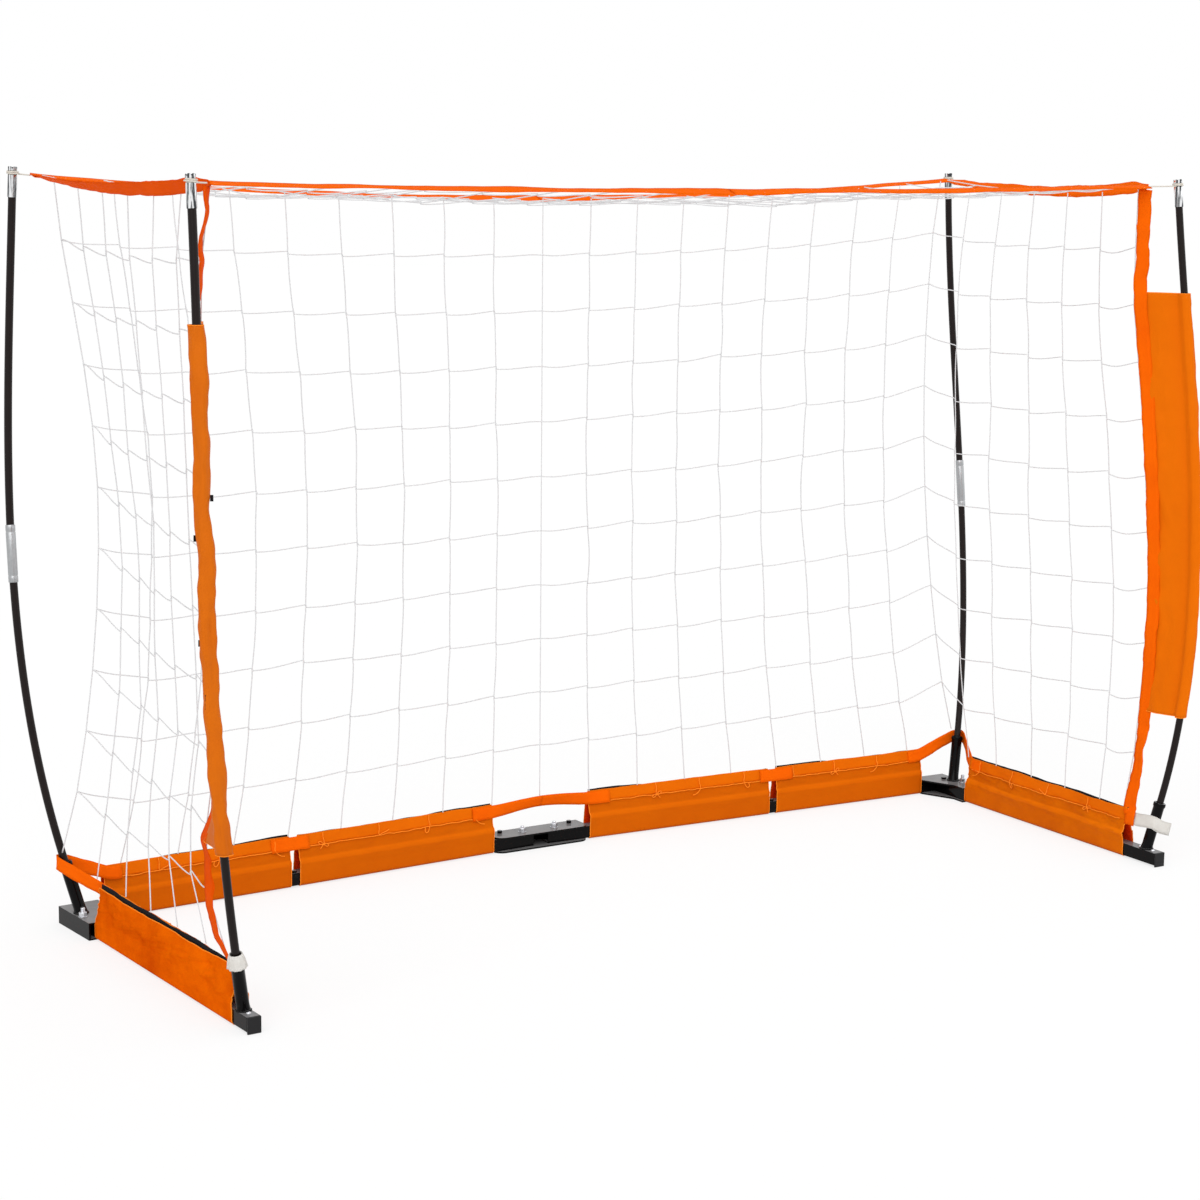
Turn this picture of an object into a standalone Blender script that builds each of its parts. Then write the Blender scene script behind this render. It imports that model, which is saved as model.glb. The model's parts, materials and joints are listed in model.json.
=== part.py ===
"""Pop-up soccer goal, 1.8 m wide and 1.2 m high, in metres with +Z up.

A folding frame of square steel bars lies on the ground, open towards -Y. Four jointed
glass-fibre poles stand in sockets on it, bowed outwards by a box net that hangs from a
ring of webbing. Fabric sleeves wrap the bars and the two front poles.
"""
import math

import bmesh
import bpy
from mathutils import Vector

# Square steel bar and the plates that carry it
BAR = 0.0222
BAR_WALL = 0.0016
PLATE = 0.003
CLEAR = 0.0003
BAR_BOTTOM = PLATE + CLEAR
BAR_TOP = BAR_BOTTOM + BAR
PLATE_TOP = BAR_TOP + CLEAR + PLATE

# Centre hinge channel
HINGE_PITCH = 0.068
HINGE_LENGTH = 0.196
HINGE_FRONT = 0.022
HINGE_BACK = 0.027
HINGE_END_ROUND = 0.018
HINGE_OVERHANG = 0.018
HINGE_BOLT_R = 0.004
STOP_R = 0.0035
STOP_HEAD_R = 0.0045
STOP_HEAD_H = 0.005
STOP_OUT = 0.0395

# Half bars and side bars
HALF_LENGTH = 0.876
HALF_SWEEP = 0.047
FOLD_GAP = 0.0007
FOLD_PITCH = BAR + FOLD_GAP
SIDE_LENGTH = 0.620
SIDE_TAPER = 0.025
SIDE_OVERHANG = 0.012
HALF_SHORT = 0.012

# Corner bracket, measured from the side bar's pivot
BRACKET_OUT = 0.0245
BRACKET_FRONT = 0.080
BRACKET_IN = 0.045
BRACKET_NOSE_IN = 0.014
BRACKET_NOSE = 0.052
RIVET_R = 0.004
RIVET_HEAD_R = 0.005
RIVET_HEAD_H = 0.004
CORNER_BOLT_FWD = 0.040
CORNER_BOLT_R = 0.004
NUT_R = 0.0065
NUT_H = 0.0075
TIP_R = 0.003
TIP_H = 0.004
CORNER_STACK_H = 0.015

# End plugs and sockets
PLUG_FLANGE = 0.003
PLUG_DEPTH = 0.015
SOCKET_R = 0.010
SOCKET_BORE_R = 0.0067
SOCKET_LENGTH = 0.088
SOCKET_RIM_R = 0.0112
SOCKET_RIM_H = 0.008
BACK_SOCKET_OUT = 0.009
BACK_SOCKET_FWD = 0.018
FRONT_SOCKET_SET = 0.036
BACK_LEAN = (0.237, 0.186)
FRONT_LEAN = (0.190, -0.140)

# Poles
TOP = 1.220
POLE_R = 0.00635
POLE_LIFT = 0.003
POLE_STEPS = 8
FERRULE_MID = 0.610
FERRULE_LENGTH = 0.092
FERRULE_R = 0.0078
POLE_CLEAR = 0.0003
JOINT_GAP = 0.0006
BACK_TIP = (0.041, 0.127)
FRONT_TIP = (0.045, 0.045)
BACK_TIP_SLOPE = (-0.050, 0.005)
FRONT_TIP_SLOPE = (-0.020, 0.124)
CAP_R = 0.0075
CAP_BODY = 0.036
CAP_BORE = 0.033
CAP_NECK_R = 0.0052
CAP_NECK = 0.005
CAP_HEAD = 0.007

# Fabric sleeves on the bars, measured along a half bar from its hinge bolt
SLEEVE_HEIGHT = 0.090
SLEEVE_CLOTH = 0.0012
SLEEVE_ROOM = 0.0005
SLEEVE_CREASE = 0.048
SLEEVE_WAIST = 0.7
SLEEVE_TOP_HALF = 0.0022
SLEEVE_SEAM = 0.0048
SLEEVE_START = 0.070
INNER_SLEEVE_LENGTH = 0.396
SLEEVE_GAP = 0.018
OUTER_SLEEVE_SET = 0.048
INNER_SLEEVE = (SLEEVE_START, SLEEVE_START + INNER_SLEEVE_LENGTH)
OUTER_SLEEVE = (INNER_SLEEVE[1] + SLEEVE_GAP, HALF_LENGTH - OUTER_SLEEVE_SET)
SIDE_SLEEVE_START = 0.082
SIDE_SLEEVE_SET = {-1: 0.049, 1: 0.085}

# Webbing, net and cords
WEB_WIDTH = 0.025
WEB_THICK = 0.0015
RING_DROP = 0.013
RING_Z = TOP - RING_DROP
FRONT_RING = (0.042, 0.030)
BACK_RING = (0.022, 0.027)
FRONT_SAG = 0.010
BACK_SAG = 0.035
SIDE_SAG = 0.014
NET_STRAND = 0.002
NET_BACK_ROWS = 11
NET_SIDE_ROWS = 11
NET_HALF_COLUMNS = 9
NET_SIDE_COLUMNS = 6
NET_ROOF_ROWS = 5
NET_GAP = 0.0005
CORNER_DRAW = (0.035, 0.030)
CORNER_DRAW_POWER = 0.8
CORD_R = 0.0012
CORNER_STRAP_Z = 0.127
CORNER_STRAP_ROOM = 0.0055
CORNER_STRAP_WIDTH = 0.020
CORNER_STRAP_TURNS = (-25.0, 42.0, 110.0)
CENTRE_STRAP_WIDTH = 0.022
CENTRE_STRAP_ARCH = 0.007
POST_SLEEVE = (0.250, 1.006)
POST_SLEEVE_BORE_R = 0.0090
POST_SLEEVE_R = 0.0104
POST_FLAP_THICK = 0.003
POST_WEB_DROP = 0.005
POST_WEB_TOP = RING_Z - POST_WEB_DROP
POST_WEB = (
    (0, 0.010, 0.066),
    (2, 0.018, 0.073),
    (6, 0.041, 0.063),
    (9, 0.046, 0.063),
    (10, 0.046, 0.049),
    (NET_SIDE_ROWS, 0.042, 0.038),
)
POST_FLAP_GAP = 0.0008
BAND_FROM = 0.058
BAND_TALL = 0.020
BAND_THICK = 0.002
BAND_ROOM = 0.0005
BAND_SPREAD = {-1: 0.0, 1: 0.015}

SIDES = {-1: "left", 1: "right"}
UP = Vector((0.0, 0.0, 1.0))


def material(name, colour, roughness, metallic=0.0):
    """One Principled material, made once and then shared."""
    found = bpy.data.materials.get(name)
    if found:
        return found
    made = bpy.data.materials.new(name)
    made.use_nodes = True
    shader = made.node_tree.nodes["Principled BSDF"]
    shader.inputs["Base Color"].default_value = (*colour, 1.0)
    shader.inputs["Roughness"].default_value = roughness
    shader.inputs["Metallic"].default_value = metallic
    made.diffuse_color = (*colour, 1.0)
    return made


def black_steel():
    return material("black_powder_coat", (0.012, 0.011, 0.013), 0.38, 0.0)


def zinc():
    return material("zinc_plate", (0.55, 0.56, 0.58), 0.32, 1.0)


def aluminium():
    return material("aluminium", (0.62, 0.63, 0.65), 0.35, 1.0)


def pole_black():
    return material("black_glass_fibre", (0.014, 0.012, 0.012), 0.45, 0.0)


def plastic_black():
    return material("black_plastic", (0.015, 0.015, 0.016), 0.5, 0.0)


def orange_cloth():
    return material("orange_cloth", (0.75, 0.155, 0.004), 0.75, 0.0)


def orange_webbing():
    return material("orange_webbing", (0.95, 0.13, 0.004), 0.7, 0.0)


def white_elastic():
    return material("white_elastic", (0.85, 0.84, 0.80), 0.8, 0.0)


def net_cord():
    return material("net_cord", (0.80, 0.80, 0.81), 0.8, 0.0)


def empty_at(name, point, parent=None):
    """An empty on a joint's axis, or at the root, that carries a body's pieces."""
    empty = bpy.data.objects.new(name, None)
    empty.empty_display_size = 0.03
    bpy.context.collection.objects.link(empty)
    if parent:
        empty.parent = parent
        empty.location = Vector(point) - world_point(parent)
    else:
        empty.location = point
    return empty


def world_point(empty):
    """World position of an unturned empty, summed up its chain of parents."""
    total = Vector(empty.location)
    while empty.parent:
        empty = empty.parent
        total += empty.location
    return total


def finish(name, bm, look, body):
    """Close a bmesh drawn in world space into a named object carried by a body's empty."""
    bmesh.ops.recalc_face_normals(bm, faces=bm.faces)
    mesh = bpy.data.meshes.new(name)
    bmesh.ops.translate(bm, vec=-world_point(body), verts=bm.verts)
    bm.to_mesh(mesh)
    bm.free()
    obj = bpy.data.objects.new(name, mesh)
    bpy.context.collection.objects.link(obj)
    obj.parent = body
    if look:
        mesh.materials.append(look)
    else:
        obj.hide_render = True
        obj.display_type = "WIRE"
    return obj


def combine(obj, bm, operation):
    """Cut a tool shape from an object, or weld it on, with the exact solver."""
    tool = finish(f"tool_{obj.name}_{len(obj.modifiers)}", bm, None, obj.parent)
    modifier = obj.modifiers.new(operation.lower(), "BOOLEAN")
    modifier.operation = operation
    modifier.solver = "EXACT"
    modifier.object = tool


def smooth(obj, degrees=40.0):
    obj.data.shade_smooth()
    obj.data.set_sharp_from_angle(angle=math.radians(degrees))


def stack(rings):
    """Skin between rings of equal length, with filled ends."""
    bm = bmesh.new()
    rows = [[bm.verts.new(point) for point in ring] for ring in rings]
    count = len(rows[0])
    for lower, upper in zip(rows, rows[1:]):
        for i in range(count):
            j = (i + 1) % count
            bm.faces.new((lower[i], lower[j], upper[j], upper[i]))
    bm.faces.new(rows[0])
    bm.faces.new(rows[-1])
    return bm


def hollow(outer, inner):
    """Skin of a tube: out along the outer rings, back along the inner ones, and closed."""
    bm = bmesh.new()
    rows = [[bm.verts.new(point) for point in ring] for ring in [*outer, *reversed(inner)]]
    count = len(rows[0])
    for k, lower in enumerate(rows):
        upper = rows[(k + 1) % len(rows)]
        for i in range(count):
            j = (i + 1) % count
            bm.faces.new((lower[i], lower[j], upper[j], upper[i]))
    return bm


def prism(outline, bottom, top):
    """Upright solid over a plan outline."""
    return stack([[(x, y, z) for x, y in outline] for z in (bottom, top)])


def axes_across(axis):
    """Two unit vectors square to an axis."""
    axis = Vector(axis).normalized()
    first = axis.cross(Vector((0.0, 1.0, 0.0))).normalized()
    return first, axis.cross(first)


def ring(centre, axis, radius, sides, level=None):
    """Points of a circle square to an axis, or its cut by the level plane z = level."""
    first, second = axes_across(axis)
    axis = Vector(axis).normalized()
    points = []
    for i in range(sides):
        turn = 2.0 * math.pi * i / sides
        point = Vector(centre) + radius * (math.cos(turn) * first + math.sin(turn) * second)
        if level is not None:
            point += axis * ((level - point.z) / axis.z)
        points.append(point)
    return points


def hex_ring(centre, radius, z):
    """Twelve points round a hexagon in plan, so that it skins to a twelve-sided circle."""
    points = []
    for i in range(12):
        reach = radius if i % 2 == 0 else radius * math.cos(math.pi / 6.0)
        turn = math.pi * i / 6.0
        points.append((centre[0] + reach * math.cos(turn), centre[1] + reach * math.sin(turn), z))
    return points


def round_ring(centre, radius, z, sides=12):
    return [
        (
            centre[0] + radius * math.cos(2.0 * math.pi * i / sides),
            centre[1] + radius * math.sin(2.0 * math.pi * i / sides),
            z,
        )
        for i in range(sides)
    ]


def upright(centre, radius, bottom, top, sides=12):
    return stack([round_ring(centre, radius, z, sides) for z in (bottom, top)])


def tangents(path):
    """Unit direction of a polyline at each of its points."""
    count = len(path)
    return [
        (path[min(i + 1, count - 1)] - path[max(i - 1, 0)]).normalized() for i in range(count)
    ]


def rod(path, radius, sides=12):
    """Solid round rod along a polyline."""
    return stack([ring(p, t, radius, sides) for p, t in zip(path, tangents(path))])


def ribbon(path, across, width, thick):
    """Flat strip along a polyline, with the width's direction given at each point."""
    rings = []
    for point, along, wide in zip(path, tangents(path), across):
        deep = along.cross(wide).normalized() * (thick / 2.0)
        wide = wide.normalized() * (width / 2.0)
        rings.append([point - wide - deep, point + wide - deep, point + wide + deep, point - wide + deep])
    return stack(rings)


def flat(vector):
    return Vector((vector[0], vector[1], 0.0))


class Half:
    """Plan of one side's folding frame, seen from the middle of the centre hinge.

    The half bar runs outwards from its hinge bolt and a little forwards. The side bar's
    pivot lies one fold pitch in front of the half bar, so that the two nest when folded.
    """

    def __init__(self, side):
        self.side = side
        self.bolt = Vector((side * HINGE_PITCH / 2.0, 0.0, 0.0))
        self.outward = Vector((side * math.cos(HALF_SWEEP), -math.sin(HALF_SWEEP), 0.0))
        self.forward = Vector((-side * math.sin(HALF_SWEEP), -math.cos(HALF_SWEEP), 0.0))
        self.pivot = self.on_half(HALF_LENGTH, FOLD_PITCH)
        self.ahead = Vector((-side * math.sin(SIDE_TAPER), -math.cos(SIDE_TAPER), 0.0))
        self.aside = Vector((side * math.cos(SIDE_TAPER), -math.sin(SIDE_TAPER), 0.0))
        self.back_foot = self.on_side(BACK_SOCKET_FWD, BACK_SOCKET_OUT, PLATE_TOP + CLEAR)
        self.front_foot = self.on_side(SIDE_LENGTH - FRONT_SOCKET_SET, 0.0, BAR_TOP + CLEAR)

    def on_half(self, out, fwd=0.0, z=0.0):
        return self.bolt + self.outward * out + self.forward * fwd + UP * z

    def on_side(self, fwd, out=0.0, z=0.0):
        return self.pivot + self.ahead * fwd + self.aside * out + UP * z

    def by_pivot(self, out, fwd, z=0.0):
        """A point of the corner bracket, square to the half bar, from the side pivot."""
        return self.pivot + self.outward * out + self.forward * fwd + UP * z

    def across(self, out, back):
        """A horizontal step, outwards and backwards."""
        return Vector((self.side * out, back, 0.0))


def plan(points):
    return [(p.x, p.y) for p in points]


def bar(name, start, end, across, look, body):
    """Square tube between two plan points."""
    def loop(point, half):
        side = across * half
        low = UP * (BAR_BOTTOM + BAR / 2.0 - half)
        high = UP * (BAR_BOTTOM + BAR / 2.0 + half)
        return [point - side + low, point + side + low, point + side + high, point - side + high]
    outer = [loop(flat(p), BAR / 2.0) for p in (start, end)]
    inner = [loop(flat(p), BAR / 2.0 - BAR_WALL) for p in (start, end)]
    return finish(name, hollow(outer, inner), look, body)


def hinge_channel(body, halves):
    """Bent plate that holds both half bars: top, bottom and a web behind."""
    half = HINGE_LENGTH / 2.0
    r = HINGE_END_ROUND
    arc = [math.pi / 2.0 * i / 4 for i in range(5)]
    outline = [(half - r + r * math.sin(a), -HINGE_FRONT + r - r * math.cos(a)) for a in arc]
    outline += [(half, HINGE_BACK), (-half, HINGE_BACK)]
    outline += [(-(half - r) - r * math.cos(a), -HINGE_FRONT + r - r * math.sin(a)) for a in arc]
    channel = finish("hinge_channel", prism(outline, 0.0, PLATE_TOP), black_steel(), body)
    reach = half + PLATE
    cavity = [
        (-reach, -HINGE_FRONT - PLATE),
        (reach, -HINGE_FRONT - PLATE),
        (reach, HINGE_BACK - PLATE),
        (-reach, HINGE_BACK - PLATE),
    ]
    combine(channel, prism(cavity, PLATE, PLATE_TOP - PLATE), "DIFFERENCE")
    for plan_half in halves.values():
        stop = plan_half.on_half(STOP_OUT, -(BAR / 2.0 + CLEAR + STOP_R))
        rings = [
            round_ring(stop, STOP_R, PLATE / 2.0),
            round_ring(stop, STOP_R, PLATE_TOP - PLATE / 2.0),
            round_ring(stop, STOP_HEAD_R, PLATE_TOP - PLATE / 2.0),
            round_ring(stop, STOP_HEAD_R, PLATE_TOP + STOP_HEAD_H),
        ]
        combine(channel, stack(rings), "UNION")
        hole = upright(plan_half.bolt, HINGE_BOLT_R + CLEAR, -PLATE, PLATE_TOP + PLATE)
        combine(channel, hole, "DIFFERENCE")
    return channel


def hinge_bolt(plan_half, body):
    """Pivot bolt of a half bar, with its washer and nut on top."""
    centre = plan_half.bolt
    seat = PLATE_TOP + CLEAR
    rings = [
        round_ring(centre, HINGE_BOLT_R, CLEAR),
        round_ring(centre, HINGE_BOLT_R, seat),
        hex_ring(centre, NUT_R, seat),
        hex_ring(centre, NUT_R, seat + NUT_H),
        round_ring(centre, TIP_R, seat + NUT_H),
        round_ring(centre, TIP_R, seat + NUT_H + TIP_H),
    ]
    bolt = finish(f"hinge_bolt_{SIDES[plan_half.side]}", stack(rings), zinc(), body)
    smooth(bolt)
    return bolt


def half_bar(plan_half, body):
    name = SIDES[plan_half.side]
    start = plan_half.on_half(-HINGE_OVERHANG)
    end = plan_half.on_half(HALF_LENGTH - HALF_SHORT)
    obj = bar(f"half_bar_{name}", start, end, plan_half.forward, black_steel(), body)
    bore = upright(plan_half.bolt, HINGE_BOLT_R + CLEAR, 0.0, PLATE_TOP)
    combine(obj, bore, "DIFFERENCE")
    button = plan_half.on_half((INNER_SLEEVE[1] + OUTER_SLEEVE[0]) / 2.0, BAR / 4.0)
    head = upright(button, STOP_HEAD_R, BAR_TOP - BAR_WALL / 2.0, BAR_TOP + RIVET_HEAD_H)
    combine(obj, head, "UNION")
    return obj


def corner_bracket(plan_half, body):
    """Wedge of folded plate that carries the half bar's end and the side bar's pivot."""
    name = SIDES[plan_half.side]
    rear = -(FOLD_PITCH + BAR / 2.0 + CLEAR)
    outline = [
        (BRACKET_OUT, rear - PLATE),
        (BRACKET_OUT, BRACKET_FRONT),
        (-BRACKET_NOSE_IN, BRACKET_FRONT),
        (-BRACKET_NOSE_IN, BRACKET_NOSE),
        (-BRACKET_IN, -FOLD_PITCH + BAR / 2.0 + CLEAR),
        (-BRACKET_IN, rear - PLATE),
    ]
    points = plan([plan_half.by_pivot(out, fwd) for out, fwd in outline])
    obj = finish(f"corner_bracket_{name}", prism(points, 0.0, PLATE_TOP), black_steel(), body)
    wall = BRACKET_OUT - PLATE
    past = BRACKET_FRONT + PLATE
    cavity = [(wall, rear), (wall, past), (-past, past), (-past, rear)]
    points = plan([plan_half.by_pivot(out, fwd) for out, fwd in cavity])
    combine(obj, prism(points, PLATE, PLATE_TOP - PLATE), "DIFFERENCE")
    centre = plan_half.pivot
    rings = [
        round_ring(centre, RIVET_R, PLATE / 2.0),
        round_ring(centre, RIVET_R, PLATE_TOP - PLATE / 2.0),
        round_ring(centre, RIVET_HEAD_R, PLATE_TOP - PLATE / 2.0),
        round_ring(centre, RIVET_HEAD_R, PLATE_TOP + RIVET_HEAD_H),
    ]
    combine(obj, stack(rings), "UNION")
    hole = upright(corner_bolt_point(plan_half), CORNER_BOLT_R + CLEAR, -PLATE, PLATE_TOP + PLATE)
    combine(obj, hole, "DIFFERENCE")
    return obj


def corner_bolt_point(plan_half):
    """The bolt that stops the side bar when it is open, against the bar's outer face."""
    return plan_half.on_side(CORNER_BOLT_FWD, BAR / 2.0 + CLEAR + CORNER_BOLT_R)


def corner_bolt(plan_half, body):
    centre = corner_bolt_point(plan_half)
    seat = PLATE_TOP + CLEAR
    rings = [
        round_ring(centre, CORNER_BOLT_R, CLEAR),
        round_ring(centre, CORNER_BOLT_R, seat),
        hex_ring(centre, NUT_R, seat),
        hex_ring(centre, NUT_R, seat + NUT_H),
        round_ring(centre, CORNER_BOLT_R, seat + NUT_H),
        round_ring(centre, CORNER_BOLT_R, seat + CORNER_STACK_H),
    ]
    bolt = finish(f"corner_bolt_{SIDES[plan_half.side]}", stack(rings), zinc(), body)
    smooth(bolt)
    return bolt


def side_bar(plan_half, body):
    name = SIDES[plan_half.side]
    start = plan_half.on_side(-SIDE_OVERHANG)
    end = plan_half.on_side(SIDE_LENGTH - PLUG_FLANGE - CLEAR)
    obj = bar(f"side_bar_{name}", start, end, plan_half.aside, black_steel(), body)
    bore = upright(plan_half.pivot, RIVET_R + CLEAR, 0.0, PLATE_TOP)
    combine(obj, bore, "DIFFERENCE")
    return obj


def end_plug(plan_half, body):
    """Plastic plug in the side bar's open end, with a lip that reaches the ground."""
    name = SIDES[plan_half.side]
    inside = BAR / 2.0 - BAR_WALL - CLEAR
    middle = BAR_BOTTOM + BAR / 2.0

    def loop(fwd, half, low, high):
        return [
            plan_half.on_side(fwd, -half, low),
            plan_half.on_side(fwd, half, low),
            plan_half.on_side(fwd, half, high),
            plan_half.on_side(fwd, -half, high),
        ]

    seat = SIDE_LENGTH - PLUG_FLANGE
    rings = [
        loop(seat - PLUG_DEPTH, inside, middle - inside, middle + inside),
        loop(seat, inside, middle - inside, middle + inside),
        loop(seat, BAR / 2.0, 0.0, BAR_TOP),
        loop(SIDE_LENGTH, BAR / 2.0, 0.0, BAR_TOP),
    ]
    return finish(f"end_plug_{name}", stack(rings), plastic_black(), body)


def socket(name, foot, lean, body):
    """Leaning steel tube with a rolled rim, cut level at its foot."""
    axis = lean_axis(foot, lean)
    rim = SOCKET_LENGTH - SOCKET_RIM_H
    outer = [
        ring(foot, axis, SOCKET_R, 16, foot.z),
        ring(foot + axis * rim, axis, SOCKET_R, 16),
        ring(foot + axis * rim, axis, SOCKET_RIM_R, 16),
        ring(foot + axis * SOCKET_LENGTH, axis, SOCKET_RIM_R, 16),
    ]
    inner = [
        ring(foot, axis, SOCKET_BORE_R, 16, foot.z),
        ring(foot + axis * SOCKET_LENGTH, axis, SOCKET_BORE_R, 16),
    ]
    obj = finish(name, hollow(outer, inner), black_steel(), body)
    smooth(obj)
    return obj


def lean_axis(foot, lean):
    """Direction of a socket that leans outwards and backwards by the given slopes."""
    side = 1.0 if foot.x > 0.0 else -1.0
    return Vector((side * lean[0], lean[1], 1.0)).normalized()


class Pole:
    """Centre line of one bowed pole, straight in its socket, its ferrule and its cap."""

    def __init__(self, side, foot, lean, tip, tip_slope):
        self.side = side
        self.foot = foot
        self.lean = lean
        self.axis = lean_axis(foot, lean)
        self.cap_axis = Vector((side * tip_slope[0], tip_slope[1], 1.0)).normalized()
        self.cap_foot_z = TOP - (CAP_BODY + CAP_NECK + CAP_HEAD) * self.cap_axis.z
        self.mouth_z = foot.z + SOCKET_LENGTH * self.axis.z
        self.tip = tip
        self.tip_slope = tip_slope
        self.ferrule = [
            self.curve(FERRULE_MID + end * FERRULE_LENGTH / 2.0) for end in (-1.0, 1.0)
        ]
        self.joint_axis = (self.ferrule[1] - self.ferrule[0]).normalized()
        self.joint = (self.ferrule[0] + self.ferrule[1]) / 2.0

    def curve(self, z):
        """Point of the bowed line at a height, by a cubic from the mouth to the cap."""
        rise = self.mouth_z - self.foot.z
        point = Vector((self.foot.x, self.foot.y, z))
        for i, turn in ((0, self.side), (1, 1)):
            if z <= self.mouth_z:
                offset = self.lean[i] * (z - self.foot.z)
            else:
                span = self.cap_foot_z - self.mouth_z
                t = (z - self.mouth_z) / span
                if t > 1.0:
                    offset = self.tip[i] + self.tip_slope[i] * (z - self.cap_foot_z)
                else:
                    start = self.lean[i] * rise
                    offset = (
                        (2 * t**3 - 3 * t**2 + 1) * start
                        + (t**3 - 2 * t**2 + t) * span * self.lean[i]
                        + (3 * t**2 - 2 * t**3) * self.tip[i]
                        + (t**3 - t**2) * span * self.tip_slope[i]
                    )
            point[i] += turn * offset
        return point

    def at(self, z):
        """Point of the real centre line, which is straight through the ferrule."""
        low, high = self.ferrule
        if low.z < z < high.z:
            return low.lerp(high, (z - low.z) / (high.z - low.z))
        return self.curve(z)

    def lower_path(self):
        bottom = self.foot + self.axis * POLE_LIFT
        rise = self.ferrule[0].z - self.mouth_z
        levels = [self.mouth_z + rise * i / POLE_STEPS for i in range(POLE_STEPS + 1)]
        return [bottom] + [self.curve(z) for z in levels] + [self.joint - self.joint_axis * JOINT_GAP / 2]

    def upper_path(self):
        first = self.ferrule[1].z
        rise = self.cap_foot_z - first
        levels = [first + rise * i / POLE_STEPS for i in range(POLE_STEPS + 1)]
        top = self.curve(self.cap_foot_z) + self.cap_axis * (CAP_BORE - JOINT_GAP)
        return [self.joint + self.joint_axis * JOINT_GAP / 2] + [self.curve(z) for z in levels] + [top]

    def neck(self):
        return self.curve(self.cap_foot_z) + self.cap_axis * (CAP_BODY + CAP_NECK / 2.0)


def pole_pieces(corner, pole, lower_body, upper_body):
    """Lower pole with its ferrule, and upper pole with its cap."""
    lower = finish(f"pole_lower_{corner}", rod(pole.lower_path(), POLE_R), pole_black(), lower_body)
    upper = finish(f"pole_upper_{corner}", rod(pole.upper_path(), POLE_R), pole_black(), upper_body)
    ends = [pole.joint + pole.joint_axis * end * FERRULE_LENGTH / 2.0 for end in (-1.0, 1.0)]
    outer = [ring(end, pole.joint_axis, FERRULE_R, 16) for end in ends]
    inner = [ring(end, pole.joint_axis, POLE_R + POLE_CLEAR, 16) for end in ends]
    ferrule = finish(f"ferrule_{corner}", hollow(outer, inner), aluminium(), lower_body)
    foot = pole.curve(pole.cap_foot_z)
    steps = [
        (CAP_BORE, POLE_R + POLE_CLEAR),
        (0.0, POLE_R + POLE_CLEAR),
        (0.0, CAP_R),
        (CAP_BODY, CAP_R),
        (CAP_BODY, CAP_NECK_R),
        (CAP_BODY + CAP_NECK, CAP_NECK_R),
        (CAP_BODY + CAP_NECK, CAP_R),
        (CAP_BODY + CAP_NECK + CAP_HEAD, CAP_R),
    ]
    rings = [ring(foot + pole.cap_axis * along, pole.cap_axis, r, 16) for along, r in steps]
    cap = finish(f"pole_cap_{corner}", stack(rings), zinc(), upper_body)
    for obj in (lower, upper, ferrule, cap):
        smooth(obj)


def bar_sleeve(name, start, end, across, body):
    """Cloth sleeve pulled over a bar and pinched shut along its top."""
    wide = BAR / 2.0 + SLEEVE_ROOM
    waist = wide * SLEEVE_WAIST
    cloth = SLEEVE_CLOTH
    low = BAR_BOTTOM - SLEEVE_ROOM
    shoulder = BAR_TOP + SLEEVE_ROOM
    top = SLEEVE_HEIGHT
    inner = [
        (-wide, low),
        (wide, low),
        (wide, shoulder),
        (waist, SLEEVE_CREASE),
        (SLEEVE_TOP_HALF - cloth, top - SLEEVE_SEAM),
        (-SLEEVE_TOP_HALF + cloth, top - SLEEVE_SEAM),
        (-waist, SLEEVE_CREASE),
        (-wide, shoulder),
    ]
    outer = [
        (-wide - cloth, low - cloth),
        (wide + cloth, low - cloth),
        (wide + cloth, shoulder),
        (waist + cloth, SLEEVE_CREASE),
        (SLEEVE_TOP_HALF, top),
        (-SLEEVE_TOP_HALF, top),
        (-waist - cloth, SLEEVE_CREASE),
        (-wide - cloth, shoulder),
    ]
    rings = [
        [[flat(p) + across * a + UP * z for a, z in loop] for p in (start, end)]
        for loop in (outer, inner)
    ]
    return finish(name, hollow(*rings), orange_cloth(), body)


def elastic_band(plan_half, body):
    """White elastic round the front socket, drawn out sideways on the right."""
    foot = plan_half.front_foot
    axis = lean_axis(foot, FRONT_LEAN)
    first, second = axes_across(axis)
    spread = BAND_SPREAD[plan_half.side]

    def loop(along, radius):
        points = []
        for i in range(16):
            turn = 2.0 * math.pi * i / 16
            step = (radius + spread) * math.cos(turn) * first + radius * math.sin(turn) * second
            points.append(foot + axis * along + step)
        return points

    inside = SOCKET_R + BAND_ROOM
    levels = (BAND_FROM, BAND_FROM + BAND_TALL)
    outer = [loop(along, inside + BAND_THICK) for along in levels]
    inner = [loop(along, inside) for along in levels]
    obj = finish(f"elastic_band_{SIDES[plan_half.side]}", hollow(outer, inner), white_elastic(), body)
    smooth(obj)
    return obj


def row_height(row):
    """Height of a row of the net's front edge, from the sleeve's top to the ring."""
    low = SLEEVE_HEIGHT + NET_GAP
    return low + (POST_WEB_TOP - low) * row / NET_SIDE_ROWS


def post_web_step(plan_half, z):
    """Step from the front pole's centre line to its webbing, at a height."""
    for low, high in zip(POST_WEB, POST_WEB[1:]):
        start, end = row_height(low[0]), row_height(high[0])
        if z <= end or high is POST_WEB[-1]:
            share = max(0.0, min(1.0, (z - start) / (end - start)))
            inward = low[1] + (high[1] - low[1]) * share
            back = low[2] + (high[2] - low[2]) * share
            return plan_half.across(-inward, back)


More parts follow.
